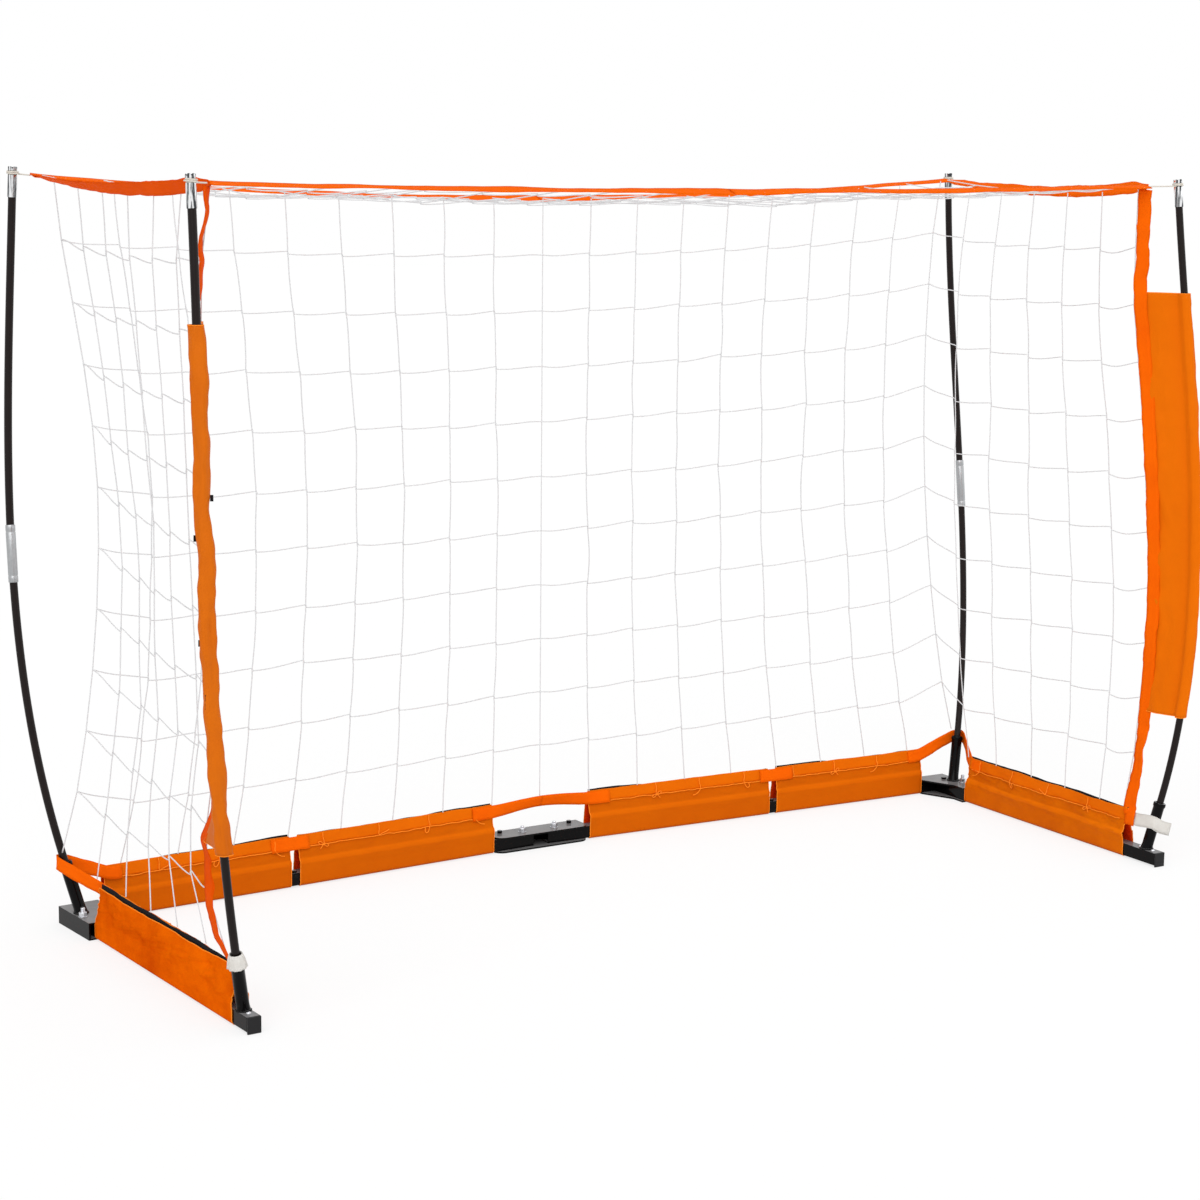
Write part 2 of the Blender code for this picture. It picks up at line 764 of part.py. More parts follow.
def post_sleeve(plan_half, pole, body):
    """Cloth flap wrapped round the front pole, reaching in and back to the webbing."""
    low, high = POST_SLEEVE
    rows = [row_height(row) for row in range(NET_SIDE_ROWS + 1)]
    levels = [low] + [z for z in rows if low < z < high] + [high]
    outer = []
    for z in levels:
        step = post_web_step(plan_half, z)
        reach = step.length - WEB_WIDTH / 2.0 - POST_FLAP_GAP
        along = step.normalized()
        beside = Vector((-along.y, along.x, 0.0))
        half = POST_FLAP_THICK / 2.0
        first = math.asin(half / POST_SLEEVE_R)
        centre = pole.at(z)
        points = [centre + along * reach - beside * half, centre + along * reach + beside * half]
        for i in range(11):
            turn = first + (2.0 * math.pi - 2.0 * first) * i / 10
            points.append(centre + (along * math.cos(turn) + beside * math.sin(turn)) * POST_SLEEVE_R)
        outer.append(points)
    obj = finish(f"pole_sleeve_{SIDES[plan_half.side]}", stack(outer), orange_cloth(), body)
    bore_levels = [low - POST_SLEEVE_R] + levels[1:-1] + [high + POST_SLEEVE_R]
    bore = [pole.at(z) for z in bore_levels]
    combine(obj, rod(bore, POST_SLEEVE_BORE_R), "DIFFERENCE")
    return obj


def post_webbing(plan_half, pole, body):
    """Webbing that the net's front edge is sewn to, from the ring down to the socket."""
    path = []
    across = []
    for z in [row_height(row) for row in range(NET_SIDE_ROWS + 1)]:
        step = post_web_step(plan_half, z)
        centre = pole.at(z) + step
        path.append(Vector((centre.x, centre.y, z)))
        across.append(step.normalized())
    web = ribbon(path, across, WEB_WIDTH, WEB_THICK)
    return finish(f"post_webbing_{SIDES[plan_half.side]}", web, orange_webbing(), body)


def sagged(start, end, depth, t):
    """Point of a strap that hangs between two ends and dips by a depth in the middle."""
    return start.lerp(end, t) - UP * (4.0 * depth * t * (1.0 - t))


class Ring:
    """Corners and sagging edges of the webbing ring that the net hangs from."""

    def __init__(self, halves, poles):
        self.front = {}
        self.back = {}
        for side, plan_half in halves.items():
            tip = poles["front", side].curve(TOP)
            self.front[side] = flat(tip) + plan_half.across(-FRONT_RING[0], FRONT_RING[1]) + UP * RING_Z
            tip = poles["back", side].curve(TOP)
            self.back[side] = flat(tip) + plan_half.across(-BACK_RING[0], -BACK_RING[1]) + UP * RING_Z

    def strap_end(self, place, side):
        """Middle of a side strap's end, half a width past the ring's corner."""
        along = (self.back[side] - self.front[side]).normalized() * (WEB_WIDTH / 2.0)
        return self.front[side] - along if place == "front" else self.back[side] + along

    def under_side(self, side, y):
        """Height for what hangs just under a side strap, at a depth into the goal."""
        front, back = self.front[side], self.back[side]
        t = max(0.0, min(1.0, (y - front.y) / (back.y - front.y)))
        return sagged(front, back, SIDE_SAG, t).z - WEB_THICK / 2.0 - NET_GAP

    def under_back(self, x):
        """Height for what hangs just under the back strap, at a place across the goal."""
        left, right = self.back[-1], self.back[1]
        t = (x - left.x) / (right.x - left.x)
        return sagged(left, right, BACK_SAG, t).z - WEB_THICK / 2.0 - NET_GAP


def side_strap(side, ring_plan, body):
    count = 8
    front, back = ring_plan.front[side], ring_plan.back[side]
    path = [ring_plan.strap_end("front", side)]
    path += [sagged(front, back, SIDE_SAG, i / count) for i in range(count + 1)]
    path.append(ring_plan.strap_end("back", side))
    across = [Vector((1.0, 0.0, 0.0))] * len(path)
    web = ribbon(path, across, WEB_WIDTH, WEB_THICK)
    return finish(f"top_strap_{SIDES[side]}", web, orange_webbing(), body)


def cross_strap(name, ends, sag, margin, body):
    """Strap between the side straps' inner edges, across the front or the back."""
    count = 12
    span = (ends[1] - ends[-1]).length
    first = margin / span
    ts = [first + (1.0 - 2.0 * first) * i / count for i in range(count + 1)]
    path = [sagged(ends[-1], ends[1], sag, t) for t in ts]
    across = [Vector((0.0, 1.0, 0.0))] * len(path)
    return finish(name, ribbon(path, across, WEB_WIDTH, WEB_THICK), orange_webbing(), body)


def tie_cord(corner, pole, strap_corner, body):
    """Elastic cord looped round the cap's neck, with a tail that holds the ring's corner."""
    neck = pole.neck()
    away = flat(strap_corner - neck).normalized()
    beside = Vector((-away.y, away.x, 0.0))
    radius = CAP_NECK_R + CLEAR + CORD_R
    path = []
    opening = math.radians(32.0)
    count = 12
    for i in range(count + 1):
        turn = opening + (2.0 * math.pi - 2.0 * opening) * i / count
        path.append(neck + (away * math.cos(turn) + beside * math.sin(turn)) * radius)
    tail_start = neck + away * (radius + 4.0 * CORD_R) - beside * (CORD_R / 2.0)
    path.append(tail_start)
    path.append(strap_corner - away * (2.0 * CLEAR))
    obj = finish(f"tie_cord_{corner}", rod(path, CORD_R, 8), white_elastic(), body)
    smooth(obj)
    return obj


def coons(bottom, top, first, last):
    """Surface between four edge curves that share their corners."""
    def surface(a, b):
        across = bottom(a) * (1.0 - b) + top(a) * b
        along = first(b) * (1.0 - a) + last(b) * a
        corners = (
            bottom(0.0) * (1.0 - a) * (1.0 - b)
            + bottom(1.0) * a * (1.0 - b)
            + top(0.0) * (1.0 - a) * b
            + top(1.0) * a * b
        )
        return across + along - corners
    return surface


def net_panel(name, surface, columns, rows, width, height, body):
    """Square-mesh net over a surface: one closed sheet of strands round its gaps."""
    def lines(count, length):
        half = NET_STRAND / 2.0 / length
        values = []
        for i in range(count + 1):
            middle = half + (1.0 - 2.0 * half) * i / count
            values += [middle - half, middle + half]
        return values

    across = lines(columns, width)
    along = lines(rows, height)
    bm = bmesh.new()
    layers = ([], [])
    step = 1.0e-3
    for a in across:
        rows_of_points = ([], [])
        for b in along:
            a0, a1 = max(0.0, a - step), min(1.0, a + step)
            b0, b1 = max(0.0, b - step), min(1.0, b + step)
            normal = (surface(a1, b) - surface(a0, b)).cross(surface(a, b1) - surface(a, b0))
            normal = normal.normalized() * (NET_STRAND / 2.0)
            point = surface(a, b)
            rows_of_points[0].append(bm.verts.new(point - normal))
            rows_of_points[1].append(bm.verts.new(point + normal))
        for layer, points in zip(layers, rows_of_points):
            layer.append(points)
    last_a = len(across) - 1
    last_b = len(along) - 1

    def solid(i, j):
        return 0 <= i < last_a and 0 <= j < last_b and (i % 2 == 0 or j % 2 == 0)

    for i in range(last_a):
        for j in range(last_b):
            if not solid(i, j):
                continue
            for layer in layers:
                bm.faces.new((layer[i][j], layer[i + 1][j], layer[i + 1][j + 1], layer[i][j + 1]))
            edges = (
                ((i - 1, j), (i, j), (i, j + 1)),
                ((i + 1, j), (i + 1, j), (i + 1, j + 1)),
                ((i, j - 1), (i, j), (i + 1, j)),
                ((i, j + 1), (i, j + 1), (i + 1, j + 1)),
            )
            for beyond, p, q in edges:
                if not solid(*beyond):
                    back, front = layers
                    bm.faces.new((back[p[0]][p[1]], back[q[0]][q[1]], front[q[0]][q[1]], front[p[0]][p[1]]))
    return finish(name, bm, net_cord(), body)


def corner_edge(plan_half, ring_plan, inset, level, b):
    """Back corner of the net, from the foot of the post (0) up to the ring (1)."""
    foot = plan_half.on_half(HALF_LENGTH - BRACKET_IN, 0.0, SLEEVE_HEIGHT + NET_GAP)
    top = flat(ring_plan.back[plan_half.side]) + plan_half.across(-WEB_WIDTH / 2, -WEB_WIDTH / 2)
    top = flat(top + inset)
    top.z = level(top)
    draw = math.sin(math.pi * b**CORNER_DRAW_POWER)
    return (foot + inset).lerp(top, b) + plan_half.across(-CORNER_DRAW[0], -CORNER_DRAW[1]) * draw


def hung(start, end, level, t):
    """Point of a net's top edge, level with the underside of the strap that it hangs from."""
    point = start.lerp(end, t)
    point.z = level(point)
    return point


def back_net(plan_half, ring_plan, body):
    """Half of the back panel, from the middle out to the corner."""
    side = plan_half.side
    seam = side * (NET_GAP + NET_STRAND) / 2.0
    inset = plan_half.across(-NET_STRAND, 0.0)

    def level(point):
        return ring_plan.under_back(point.x)

    def corner(b):
        return corner_edge(plan_half, ring_plan, inset, level, b)

    low_middle = Vector((seam, 0.0, SLEEVE_HEIGHT + NET_GAP))
    high_middle = Vector((seam, corner(1.0).y, 0.0))

    def bottom(a):
        return low_middle.lerp(corner(0.0), a)

    def top(a):
        return hung(high_middle, corner(1.0), level, a)

    def middle(b):
        return bottom(0.0).lerp(top(0.0), b)

    surface = coons(bottom, top, middle, corner)
    width = (bottom(1.0) - bottom(0.0)).length
    height = (middle(1.0) - middle(0.0)).length
    name = f"net_back_{SIDES[side]}"
    return net_panel(name, surface, NET_HALF_COLUMNS, NET_BACK_ROWS, width, height, body)


def side_net(plan_half, ring_plan, pole, body):
    """Side panel, from the back corner forward to the webbing beside the front pole."""
    side = plan_half.side
    inset = plan_half.across(0.0, -NET_STRAND)

    def level(point):
        return ring_plan.under_side(side, point.y)

    def corner(b):
        return corner_edge(plan_half, ring_plan, inset, level, b)

    def front(b):
        z = row_height(NET_SIDE_ROWS * b)
        step = post_web_step(plan_half, z)
        reach = WEB_WIDTH / 2.0 + NET_GAP + NET_STRAND / 2.0
        point = pole.at(z) + step + step.normalized() * reach
        return Vector((point.x, point.y, z))

    def bottom(a):
        return corner(0.0).lerp(front(0.0), a)

    def top(a):
        return hung(corner(1.0), front(1.0), level, a)

    surface = coons(bottom, top, corner, front)
    width = (bottom(1.0) - bottom(0.0)).length
    height = row_height(NET_SIDE_ROWS) - row_height(0)
    return net_panel(f"net_{SIDES[side]}", surface, NET_SIDE_COLUMNS, NET_SIDE_ROWS, width, height, body)


def roof_net(ring_plan, body):
    """Roof panel inside the ring, slack in the middle."""
    inset = WEB_WIDTH / 2.0 + NET_GAP + NET_STRAND / 2.0
    corners = {}
    for side in SIDES:
        corners["front", side] = ring_plan.front[side] + Vector((-side * inset, inset, 0.0))
        corners["back", side] = ring_plan.back[side] + Vector((-side * inset, -inset, 0.0))

    def across_front(a):
        return sagged(corners["front", -1], corners["front", 1], FRONT_SAG, a)

    def across_back(a):
        return sagged(corners["back", -1], corners["back", 1], BACK_SAG, a)

    def left(b):
        return sagged(corners["front", -1], corners["back", -1], SIDE_SAG, b)

    def right(b):
        return sagged(corners["front", 1], corners["back", 1], SIDE_SAG, b)

    surface = coons(across_front, across_back, left, right)
    width = (corners["front", 1] - corners["front", -1]).length
    depth = (corners["back", 1] - corners["front", 1]).length
    return net_panel("net_roof", surface, 2 * NET_HALF_COLUMNS, NET_ROOF_ROWS, width, depth, body)


def centre_strap(halves, body):
    """Webbing that bridges the two inner sleeves above the centre hinge."""
    start = halves[-1].on_half(INNER_SLEEVE[0] - CLEAR)
    end = halves[1].on_half(INNER_SLEEVE[0] - CLEAR)
    path = []
    count = 6
    low = SLEEVE_HEIGHT - CENTRE_STRAP_WIDTH / 2.0 - CENTRE_STRAP_ARCH - CLEAR
    for i in range(count + 1):
        t = i / count
        lift = 4.0 * CENTRE_STRAP_ARCH * t * (1.0 - t)
        path.append(flat(start.lerp(end, t)) + UP * (low + lift))
    web = ribbon(path, [UP] * len(path), CENTRE_STRAP_WIDTH, WEB_THICK)
    return finish("base_strap_centre", web, orange_webbing(), body)


def corner_strap(plan_half, pole, sleeve):
    """Webbing from the side sleeve's hem, round the back of the post, to the back sleeve."""
    post = flat(pole.at(CORNER_STRAP_Z))
    room = POLE_R + CORNER_STRAP_ROOM
    hem = SLEEVE_HEIGHT - WEB_WIDTH / 2.0 - CLEAR
    overlap = WEB_WIDTH / 2.0
    points = [
        (plan_half.on_side(SIDE_SLEEVE_START + overlap), hem),
        (plan_half.on_side(SIDE_SLEEVE_START - CLEAR), hem),
    ]
    for degrees in CORNER_STRAP_TURNS:
        turn = math.radians(degrees)
        step = plan_half.across(room * math.cos(turn), room * math.sin(turn))
        points.append((post + step, CORNER_STRAP_Z))
    points.append((plan_half.on_half(OUTER_SLEEVE[1] + overlap), hem))
    points.append((plan_half.on_half(OUTER_SLEEVE[1] + 2.0 * CLEAR), hem))
    path = [flat(p) + UP * z for p, z in points]
    web = ribbon(path, [UP] * len(path), CORNER_STRAP_WIDTH, WEB_THICK)
    combine(sleeve, web, "UNION")


def centre_depth(root):
    """Slide the whole goal so that its bounding box is centred on the origin, front to back."""
    bpy.context.view_layer.update()
    lows = []
    highs = []
    for obj in bpy.data.objects:
        if obj.type == "MESH" and not obj.hide_render:
            ys = [(obj.matrix_world @ v.co).y for v in obj.data.vertices]
            lows.append(min(ys))
            highs.append(max(ys))
    root.location.y = -(min(lows) + max(highs)) / 2.0


def build():
    for obj in list(bpy.data.objects):
        bpy.data.objects.remove(obj, do_unlink=True)
    halves = {side: Half(side) for side in SIDES}
    poles = {}
    for side, plan_half in halves.items():
        poles["back", side] = Pole(side, plan_half.back_foot, BACK_LEAN, BACK_TIP, BACK_TIP_SLOPE)
        poles["front", side] = Pole(side, plan_half.front_foot, FRONT_LEAN, FRONT_TIP, FRONT_TIP_SLOPE)
    ring_plan = Ring(halves, poles)

    root = empty_at("goal", (0.0, 0.0, 0.0))
    hinge_channel(root, halves)
    centre_strap(halves, root)
    inner_edge = WEB_WIDTH / 2.0 + 3.0 * CLEAR
    cross_strap("top_strap_front", ring_plan.front, FRONT_SAG, inner_edge, root)
    cross_strap("top_strap_back", ring_plan.back, BACK_SAG, inner_edge, root)
    roof_net(ring_plan, root)

    for side, name in SIDES.items():
        plan_half = halves[side]
        hinge_bolt(plan_half, root)
        half_body = empty_at(f"half_{name}", plan_half.bolt, root)
        half_bar(plan_half, half_body)
        corner_bracket(plan_half, half_body)
        corner_bolt(plan_half, half_body)
        socket(f"back_socket_{name}", plan_half.back_foot, BACK_LEAN, half_body)
        for label, span in (("inner", INNER_SLEEVE), ("outer", OUTER_SLEEVE)):
            start = plan_half.on_half(span[0])
            end = plan_half.on_half(span[1])
            bar_sleeve(f"back_sleeve_{label}_{name}", start, end, plan_half.forward, half_body)
        back_net(plan_half, ring_plan, half_body)

        side_body = empty_at(f"side_{name}", plan_half.pivot, half_body)
        side_bar(plan_half, side_body)
        end_plug(plan_half, side_body)
        socket(f"front_socket_{name}", plan_half.front_foot, FRONT_LEAN, side_body)
        start = plan_half.on_side(SIDE_SLEEVE_START)
        end = plan_half.on_side(SIDE_LENGTH - SIDE_SLEEVE_SET[side])
        sleeve = bar_sleeve(f"side_sleeve_{name}", start, end, plan_half.aside, side_body)
        corner_strap(plan_half, poles["back", side], sleeve)
        elastic_band(plan_half, side_body)
        side_net(plan_half, ring_plan, poles["front", side], side_body)
        side_strap(side, ring_plan, side_body)
        post_webbing(plan_half, poles["front", side], side_body)

        for place, carrier in (("back", half_body), ("front", side_body)):
            pole = poles[place, side]
            corner = f"{place}_{name}"
            lower_body = empty_at(f"pole_{corner}", pole.foot, carrier)
            upper_body = empty_at(f"pole_top_{corner}", pole.joint, lower_body)
            pole_pieces(corner, pole, lower_body, upper_body)
            if place == "front":
                post_sleeve(plan_half, pole, lower_body)
            strap_corner = ring_plan.strap_end(place, side) + plan_half.across(WEB_WIDTH / 2.0, 0.0)
            tie_cord(corner, pole, strap_corner, upper_body)

    centre_depth(root)


build()
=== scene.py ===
"""Looks of a pop-up soccer goal: a folding steel base, four bowed poles, cloth sleeves,
a ring of webbing and a box net. Metres, +Z up, open towards -Y.
"""
import json
from math import cos, pi, radians, sin, sqrt

import bmesh
import bpy
from mathutils import Matrix, Vector, noise
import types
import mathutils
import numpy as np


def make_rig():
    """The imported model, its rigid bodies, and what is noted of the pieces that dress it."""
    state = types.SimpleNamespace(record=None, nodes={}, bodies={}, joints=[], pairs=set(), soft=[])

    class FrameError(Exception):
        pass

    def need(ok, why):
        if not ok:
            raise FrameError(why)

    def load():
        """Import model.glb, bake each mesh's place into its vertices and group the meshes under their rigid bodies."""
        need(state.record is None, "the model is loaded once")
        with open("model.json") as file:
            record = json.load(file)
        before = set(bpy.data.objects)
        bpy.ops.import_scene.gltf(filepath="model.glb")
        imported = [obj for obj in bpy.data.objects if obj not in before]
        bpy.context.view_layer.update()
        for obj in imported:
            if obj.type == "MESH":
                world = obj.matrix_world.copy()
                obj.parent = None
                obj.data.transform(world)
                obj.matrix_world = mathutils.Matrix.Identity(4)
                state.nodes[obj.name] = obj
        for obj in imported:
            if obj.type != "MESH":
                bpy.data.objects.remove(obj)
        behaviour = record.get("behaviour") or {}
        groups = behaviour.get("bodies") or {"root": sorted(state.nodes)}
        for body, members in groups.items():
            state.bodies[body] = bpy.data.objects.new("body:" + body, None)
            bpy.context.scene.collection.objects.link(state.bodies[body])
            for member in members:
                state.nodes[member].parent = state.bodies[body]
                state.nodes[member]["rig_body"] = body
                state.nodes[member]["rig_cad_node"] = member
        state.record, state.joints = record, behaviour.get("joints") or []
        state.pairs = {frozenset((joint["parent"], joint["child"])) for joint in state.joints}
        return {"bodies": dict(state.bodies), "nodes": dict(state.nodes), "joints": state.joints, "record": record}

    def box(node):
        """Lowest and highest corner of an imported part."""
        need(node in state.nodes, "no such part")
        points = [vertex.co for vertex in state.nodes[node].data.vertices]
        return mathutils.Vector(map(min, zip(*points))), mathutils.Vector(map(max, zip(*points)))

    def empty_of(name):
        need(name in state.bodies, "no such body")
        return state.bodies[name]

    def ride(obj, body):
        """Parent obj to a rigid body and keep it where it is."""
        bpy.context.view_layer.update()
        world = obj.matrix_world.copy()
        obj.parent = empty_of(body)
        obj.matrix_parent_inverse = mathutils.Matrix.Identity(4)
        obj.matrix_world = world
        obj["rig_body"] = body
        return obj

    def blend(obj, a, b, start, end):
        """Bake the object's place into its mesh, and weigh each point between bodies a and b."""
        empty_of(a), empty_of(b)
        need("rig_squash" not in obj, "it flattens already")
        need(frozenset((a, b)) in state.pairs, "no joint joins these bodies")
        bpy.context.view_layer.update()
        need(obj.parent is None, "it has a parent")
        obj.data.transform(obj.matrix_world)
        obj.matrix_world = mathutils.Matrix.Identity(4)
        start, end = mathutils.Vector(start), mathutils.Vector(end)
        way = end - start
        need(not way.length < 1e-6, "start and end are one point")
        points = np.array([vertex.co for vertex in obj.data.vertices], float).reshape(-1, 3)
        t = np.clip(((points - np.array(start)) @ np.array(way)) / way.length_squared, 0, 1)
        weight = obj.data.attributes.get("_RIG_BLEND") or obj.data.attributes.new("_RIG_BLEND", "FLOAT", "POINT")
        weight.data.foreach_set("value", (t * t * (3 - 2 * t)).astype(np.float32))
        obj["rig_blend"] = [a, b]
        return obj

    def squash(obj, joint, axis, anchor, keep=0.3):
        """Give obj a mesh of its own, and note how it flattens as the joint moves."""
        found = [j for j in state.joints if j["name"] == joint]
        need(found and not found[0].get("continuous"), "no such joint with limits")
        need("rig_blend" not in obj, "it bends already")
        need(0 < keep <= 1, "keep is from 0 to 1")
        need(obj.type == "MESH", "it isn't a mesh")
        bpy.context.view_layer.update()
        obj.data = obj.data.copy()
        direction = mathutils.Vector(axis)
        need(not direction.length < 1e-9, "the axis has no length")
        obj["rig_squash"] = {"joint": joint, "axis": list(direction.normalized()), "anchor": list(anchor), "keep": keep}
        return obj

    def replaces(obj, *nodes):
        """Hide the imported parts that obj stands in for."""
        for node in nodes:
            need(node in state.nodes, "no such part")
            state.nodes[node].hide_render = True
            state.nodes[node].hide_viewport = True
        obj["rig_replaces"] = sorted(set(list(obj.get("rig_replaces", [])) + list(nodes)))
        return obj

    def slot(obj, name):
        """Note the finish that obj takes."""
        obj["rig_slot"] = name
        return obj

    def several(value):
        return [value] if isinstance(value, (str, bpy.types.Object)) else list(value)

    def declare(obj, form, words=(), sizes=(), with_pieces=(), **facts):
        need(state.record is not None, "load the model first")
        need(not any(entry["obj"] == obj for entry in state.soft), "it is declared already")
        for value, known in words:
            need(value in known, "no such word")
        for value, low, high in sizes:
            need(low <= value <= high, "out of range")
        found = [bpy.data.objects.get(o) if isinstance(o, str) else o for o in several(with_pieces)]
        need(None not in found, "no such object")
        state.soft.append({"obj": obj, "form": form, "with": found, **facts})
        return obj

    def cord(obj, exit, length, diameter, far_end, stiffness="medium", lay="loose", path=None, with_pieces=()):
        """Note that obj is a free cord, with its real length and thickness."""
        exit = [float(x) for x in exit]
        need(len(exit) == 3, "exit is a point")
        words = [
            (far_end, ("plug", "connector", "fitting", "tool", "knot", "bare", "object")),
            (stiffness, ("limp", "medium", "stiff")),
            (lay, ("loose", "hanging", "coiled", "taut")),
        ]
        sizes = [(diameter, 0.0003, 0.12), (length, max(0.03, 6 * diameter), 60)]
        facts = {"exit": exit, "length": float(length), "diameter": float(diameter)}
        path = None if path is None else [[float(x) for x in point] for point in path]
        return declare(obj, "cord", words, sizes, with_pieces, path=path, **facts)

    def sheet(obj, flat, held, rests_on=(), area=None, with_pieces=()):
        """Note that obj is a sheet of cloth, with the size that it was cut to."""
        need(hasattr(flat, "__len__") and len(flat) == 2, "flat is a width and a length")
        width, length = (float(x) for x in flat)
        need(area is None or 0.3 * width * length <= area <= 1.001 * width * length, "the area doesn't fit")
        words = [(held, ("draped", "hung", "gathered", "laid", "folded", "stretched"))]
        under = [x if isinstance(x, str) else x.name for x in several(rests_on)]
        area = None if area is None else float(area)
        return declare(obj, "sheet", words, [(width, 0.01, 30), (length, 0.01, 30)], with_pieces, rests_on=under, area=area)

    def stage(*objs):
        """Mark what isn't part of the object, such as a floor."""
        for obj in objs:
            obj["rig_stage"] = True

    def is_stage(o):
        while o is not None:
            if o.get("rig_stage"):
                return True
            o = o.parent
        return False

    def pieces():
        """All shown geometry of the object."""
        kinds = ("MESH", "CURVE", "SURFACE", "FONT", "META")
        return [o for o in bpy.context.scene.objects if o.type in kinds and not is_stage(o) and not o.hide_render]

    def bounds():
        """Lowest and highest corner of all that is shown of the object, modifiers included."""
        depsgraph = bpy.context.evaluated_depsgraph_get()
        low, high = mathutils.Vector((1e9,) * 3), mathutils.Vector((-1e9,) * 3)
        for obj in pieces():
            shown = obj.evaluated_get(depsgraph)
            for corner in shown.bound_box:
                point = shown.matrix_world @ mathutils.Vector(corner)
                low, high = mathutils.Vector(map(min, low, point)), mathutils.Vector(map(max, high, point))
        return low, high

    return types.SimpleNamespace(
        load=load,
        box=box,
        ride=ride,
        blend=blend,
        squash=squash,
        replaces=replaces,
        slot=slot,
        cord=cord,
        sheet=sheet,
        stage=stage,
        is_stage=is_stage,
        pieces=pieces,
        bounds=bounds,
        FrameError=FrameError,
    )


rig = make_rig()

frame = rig.load()
cad_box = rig.bounds()

# Camera: in front and to the left of the goal, a little above the ring, level
# with a grown-up's chest, and looking slightly down.
CAMERA_AT = (-2.4465, -3.6813, 1.2704)
YAW, PITCH, ROLL = 0.57193, -0.17185, 0.01411
LENS_IN_PIXELS, PHOTO_SIDE = 2637.1, 1200.0

ahead = Vector((sin(YAW) * cos(PITCH), cos(YAW) * cos(PITCH), sin(PITCH)))
level = Vector((cos(YAW), -sin(YAW), 0.0))
upward = level.cross(ahead)
right = level * cos(ROLL) + upward * sin(ROLL)
upward = upward * cos(ROLL) - level * sin(ROLL)
camera_data = bpy.data.cameras.new("camera")
camera_data.sensor_width = 36.0
camera_data.lens = LENS_IN_PIXELS / PHOTO_SIDE * camera_data.sensor_width
camera = bpy.data.objects.new("camera", camera_data)
turn = Matrix((right, upward, -ahead)).transposed().to_4x4()
camera.matrix_world = Matrix.Translation(CAMERA_AT) @ turn
bpy.context.scene.collection.objects.link(camera)
bpy.context.scene.camera = camera
bpy.context.scene.view_settings.view_transform = "Standard"


# Studio: a white floor under an even white sky, a broad soft lamp from the
# upper left and a weaker one from the right. What the camera sees of floor and
# sky is whiter than the light that they give.
FLOOR_GLOW, SKY_LIGHT = 0.75, 0.62
LAMPS = {"key": (1.55, 55.0, (0.45, 0.55, -0.80)), "fill": (0.45, 90.0, (-0.70, 0.35, -0.55))}


def with_settings(made, settings):
    for name, value in settings.items():
        setattr(made, name, value)
    return made


def new_node(tree, kind, sockets, out, **settings):
    """A shader node: its settings first, then the values or wires of its sockets."""
    made = with_settings(tree.nodes.new("ShaderNode" + kind), settings)
    for name, value in sockets.items():
        if isinstance(value, Wire):
            tree.links.new(value.socket, made.inputs[name])
        else:
            made.inputs[name].default_value = value
    return Wire(tree, made.outputs[out])


class Wire:
    """A socket of a finish being mixed: arithmetic on wires adds the nodes for it."""

    def __init__(self, tree, socket):
        self.tree = tree
        self.socket = socket

    def node(self, kind, sockets, out=0, **settings):
        return new_node(self.tree, kind, sockets, out, **settings)

    def beside(self, out):
        """Another output of the same node."""
        return Wire(self.tree, self.socket.node.outputs[out])

    def part(self, out):
        """One coordinate of a vector."""
        return self.node("SeparateXYZ", {"Vector": self}, out)

    def maths(self, operation, *others):
        return self.node("Math", dict(enumerate((self, *others))), operation=operation)

    def __add__(self, other):
        return self.maths("ADD", other)

    def __mul__(self, other):
        return self.maths("MULTIPLY", other)

    def __sub__(self, other):
        return self.maths("SUBTRACT", other)

    def waves(self, pitch):
        """A wave along this value, from -1 to 1."""
        return (self * (2.0 * pi / pitch)).maths("SINE")

    def over(self, edge, soft):
        """1 above an edge and 0 below it, with a soft step between."""
        return self.node("MapRange", {"Value": self, "From Min": edge - soft, "From Max": edge + soft})

    def mixed(self, *colours):
        """A colour between two others, by this value."""
        first, second = (one if isinstance(one, Wire) else (*one, 1.0) for one in colours)
        return self.node("Mix", {0: self, 6: first, 7: second}, 2, data_type="RGBA")


class Finish:
    """A material with one Principled shader, and the wires that its pattern starts from."""

    def __init__(self, name, **constants):
        self.material = bpy.data.materials.new(name)
        self.material.use_nodes = True
        self.tree = self.material.node_tree
        self.shader = self.tree.nodes["Principled BSDF"]
        for socket, value in constants.items():
            self.shader.inputs[socket.replace("_", " ")].default_value = value

    def start(self, kind, out, **settings):
        return new_node(self.tree, kind, {}, out, **settings)

    def place(self, upward=1.0):
        """Object coordinates, scaled upward."""
        where = self.start("TexCoord", "Object")
        return where.node("Mapping", {"Vector": where, "Scale": (1.0, 1.0, upward)})

    def across_along(self):
        """The piece's own flat coordinates in metres: across it and along it."""
        across = self.start("UVMap", "UV", uv_map="metres").part("X")
        return across, across.beside("Y")

    def grain(self, scale, upward=1.0, detail=3.0, roughness=0.55):
        where = self.place(upward)
        settings = {"Vector": where, "Scale": scale, "Detail": detail, "Roughness": roughness}
        return where.node("TexNoise", settings)

    def feed(self, **wires):
        for socket, wire in wires.items():
            self.tree.links.new(wire.socket, self.shader.inputs[socket.replace("_", " ")])

    def bump(self, height, depth):
        """Relief of a depth in metres, for heights from 0 to 1."""
        self.feed(Normal=height.node("Bump", {"Height": height, "Distance": depth}))


def only(obj):
    """Select one object alone and make it active."""
    bpy.ops.object.select_all(action="DESELECT")
    obj.select_set(True)
    bpy.context.view_layer.objects.active = obj


def placed(name, data):
    """A new object in the scene, alone selected."""
    obj = bpy.data.objects.new(name, data)
    bpy.context.scene.collection.objects.link(obj)
    only(obj)
    return obj


def meshed(name, points, edges, faces):
    mesh = bpy.data.meshes.new(name)
    mesh.from_pydata(points, edges, faces)
    return placed(name, mesh)


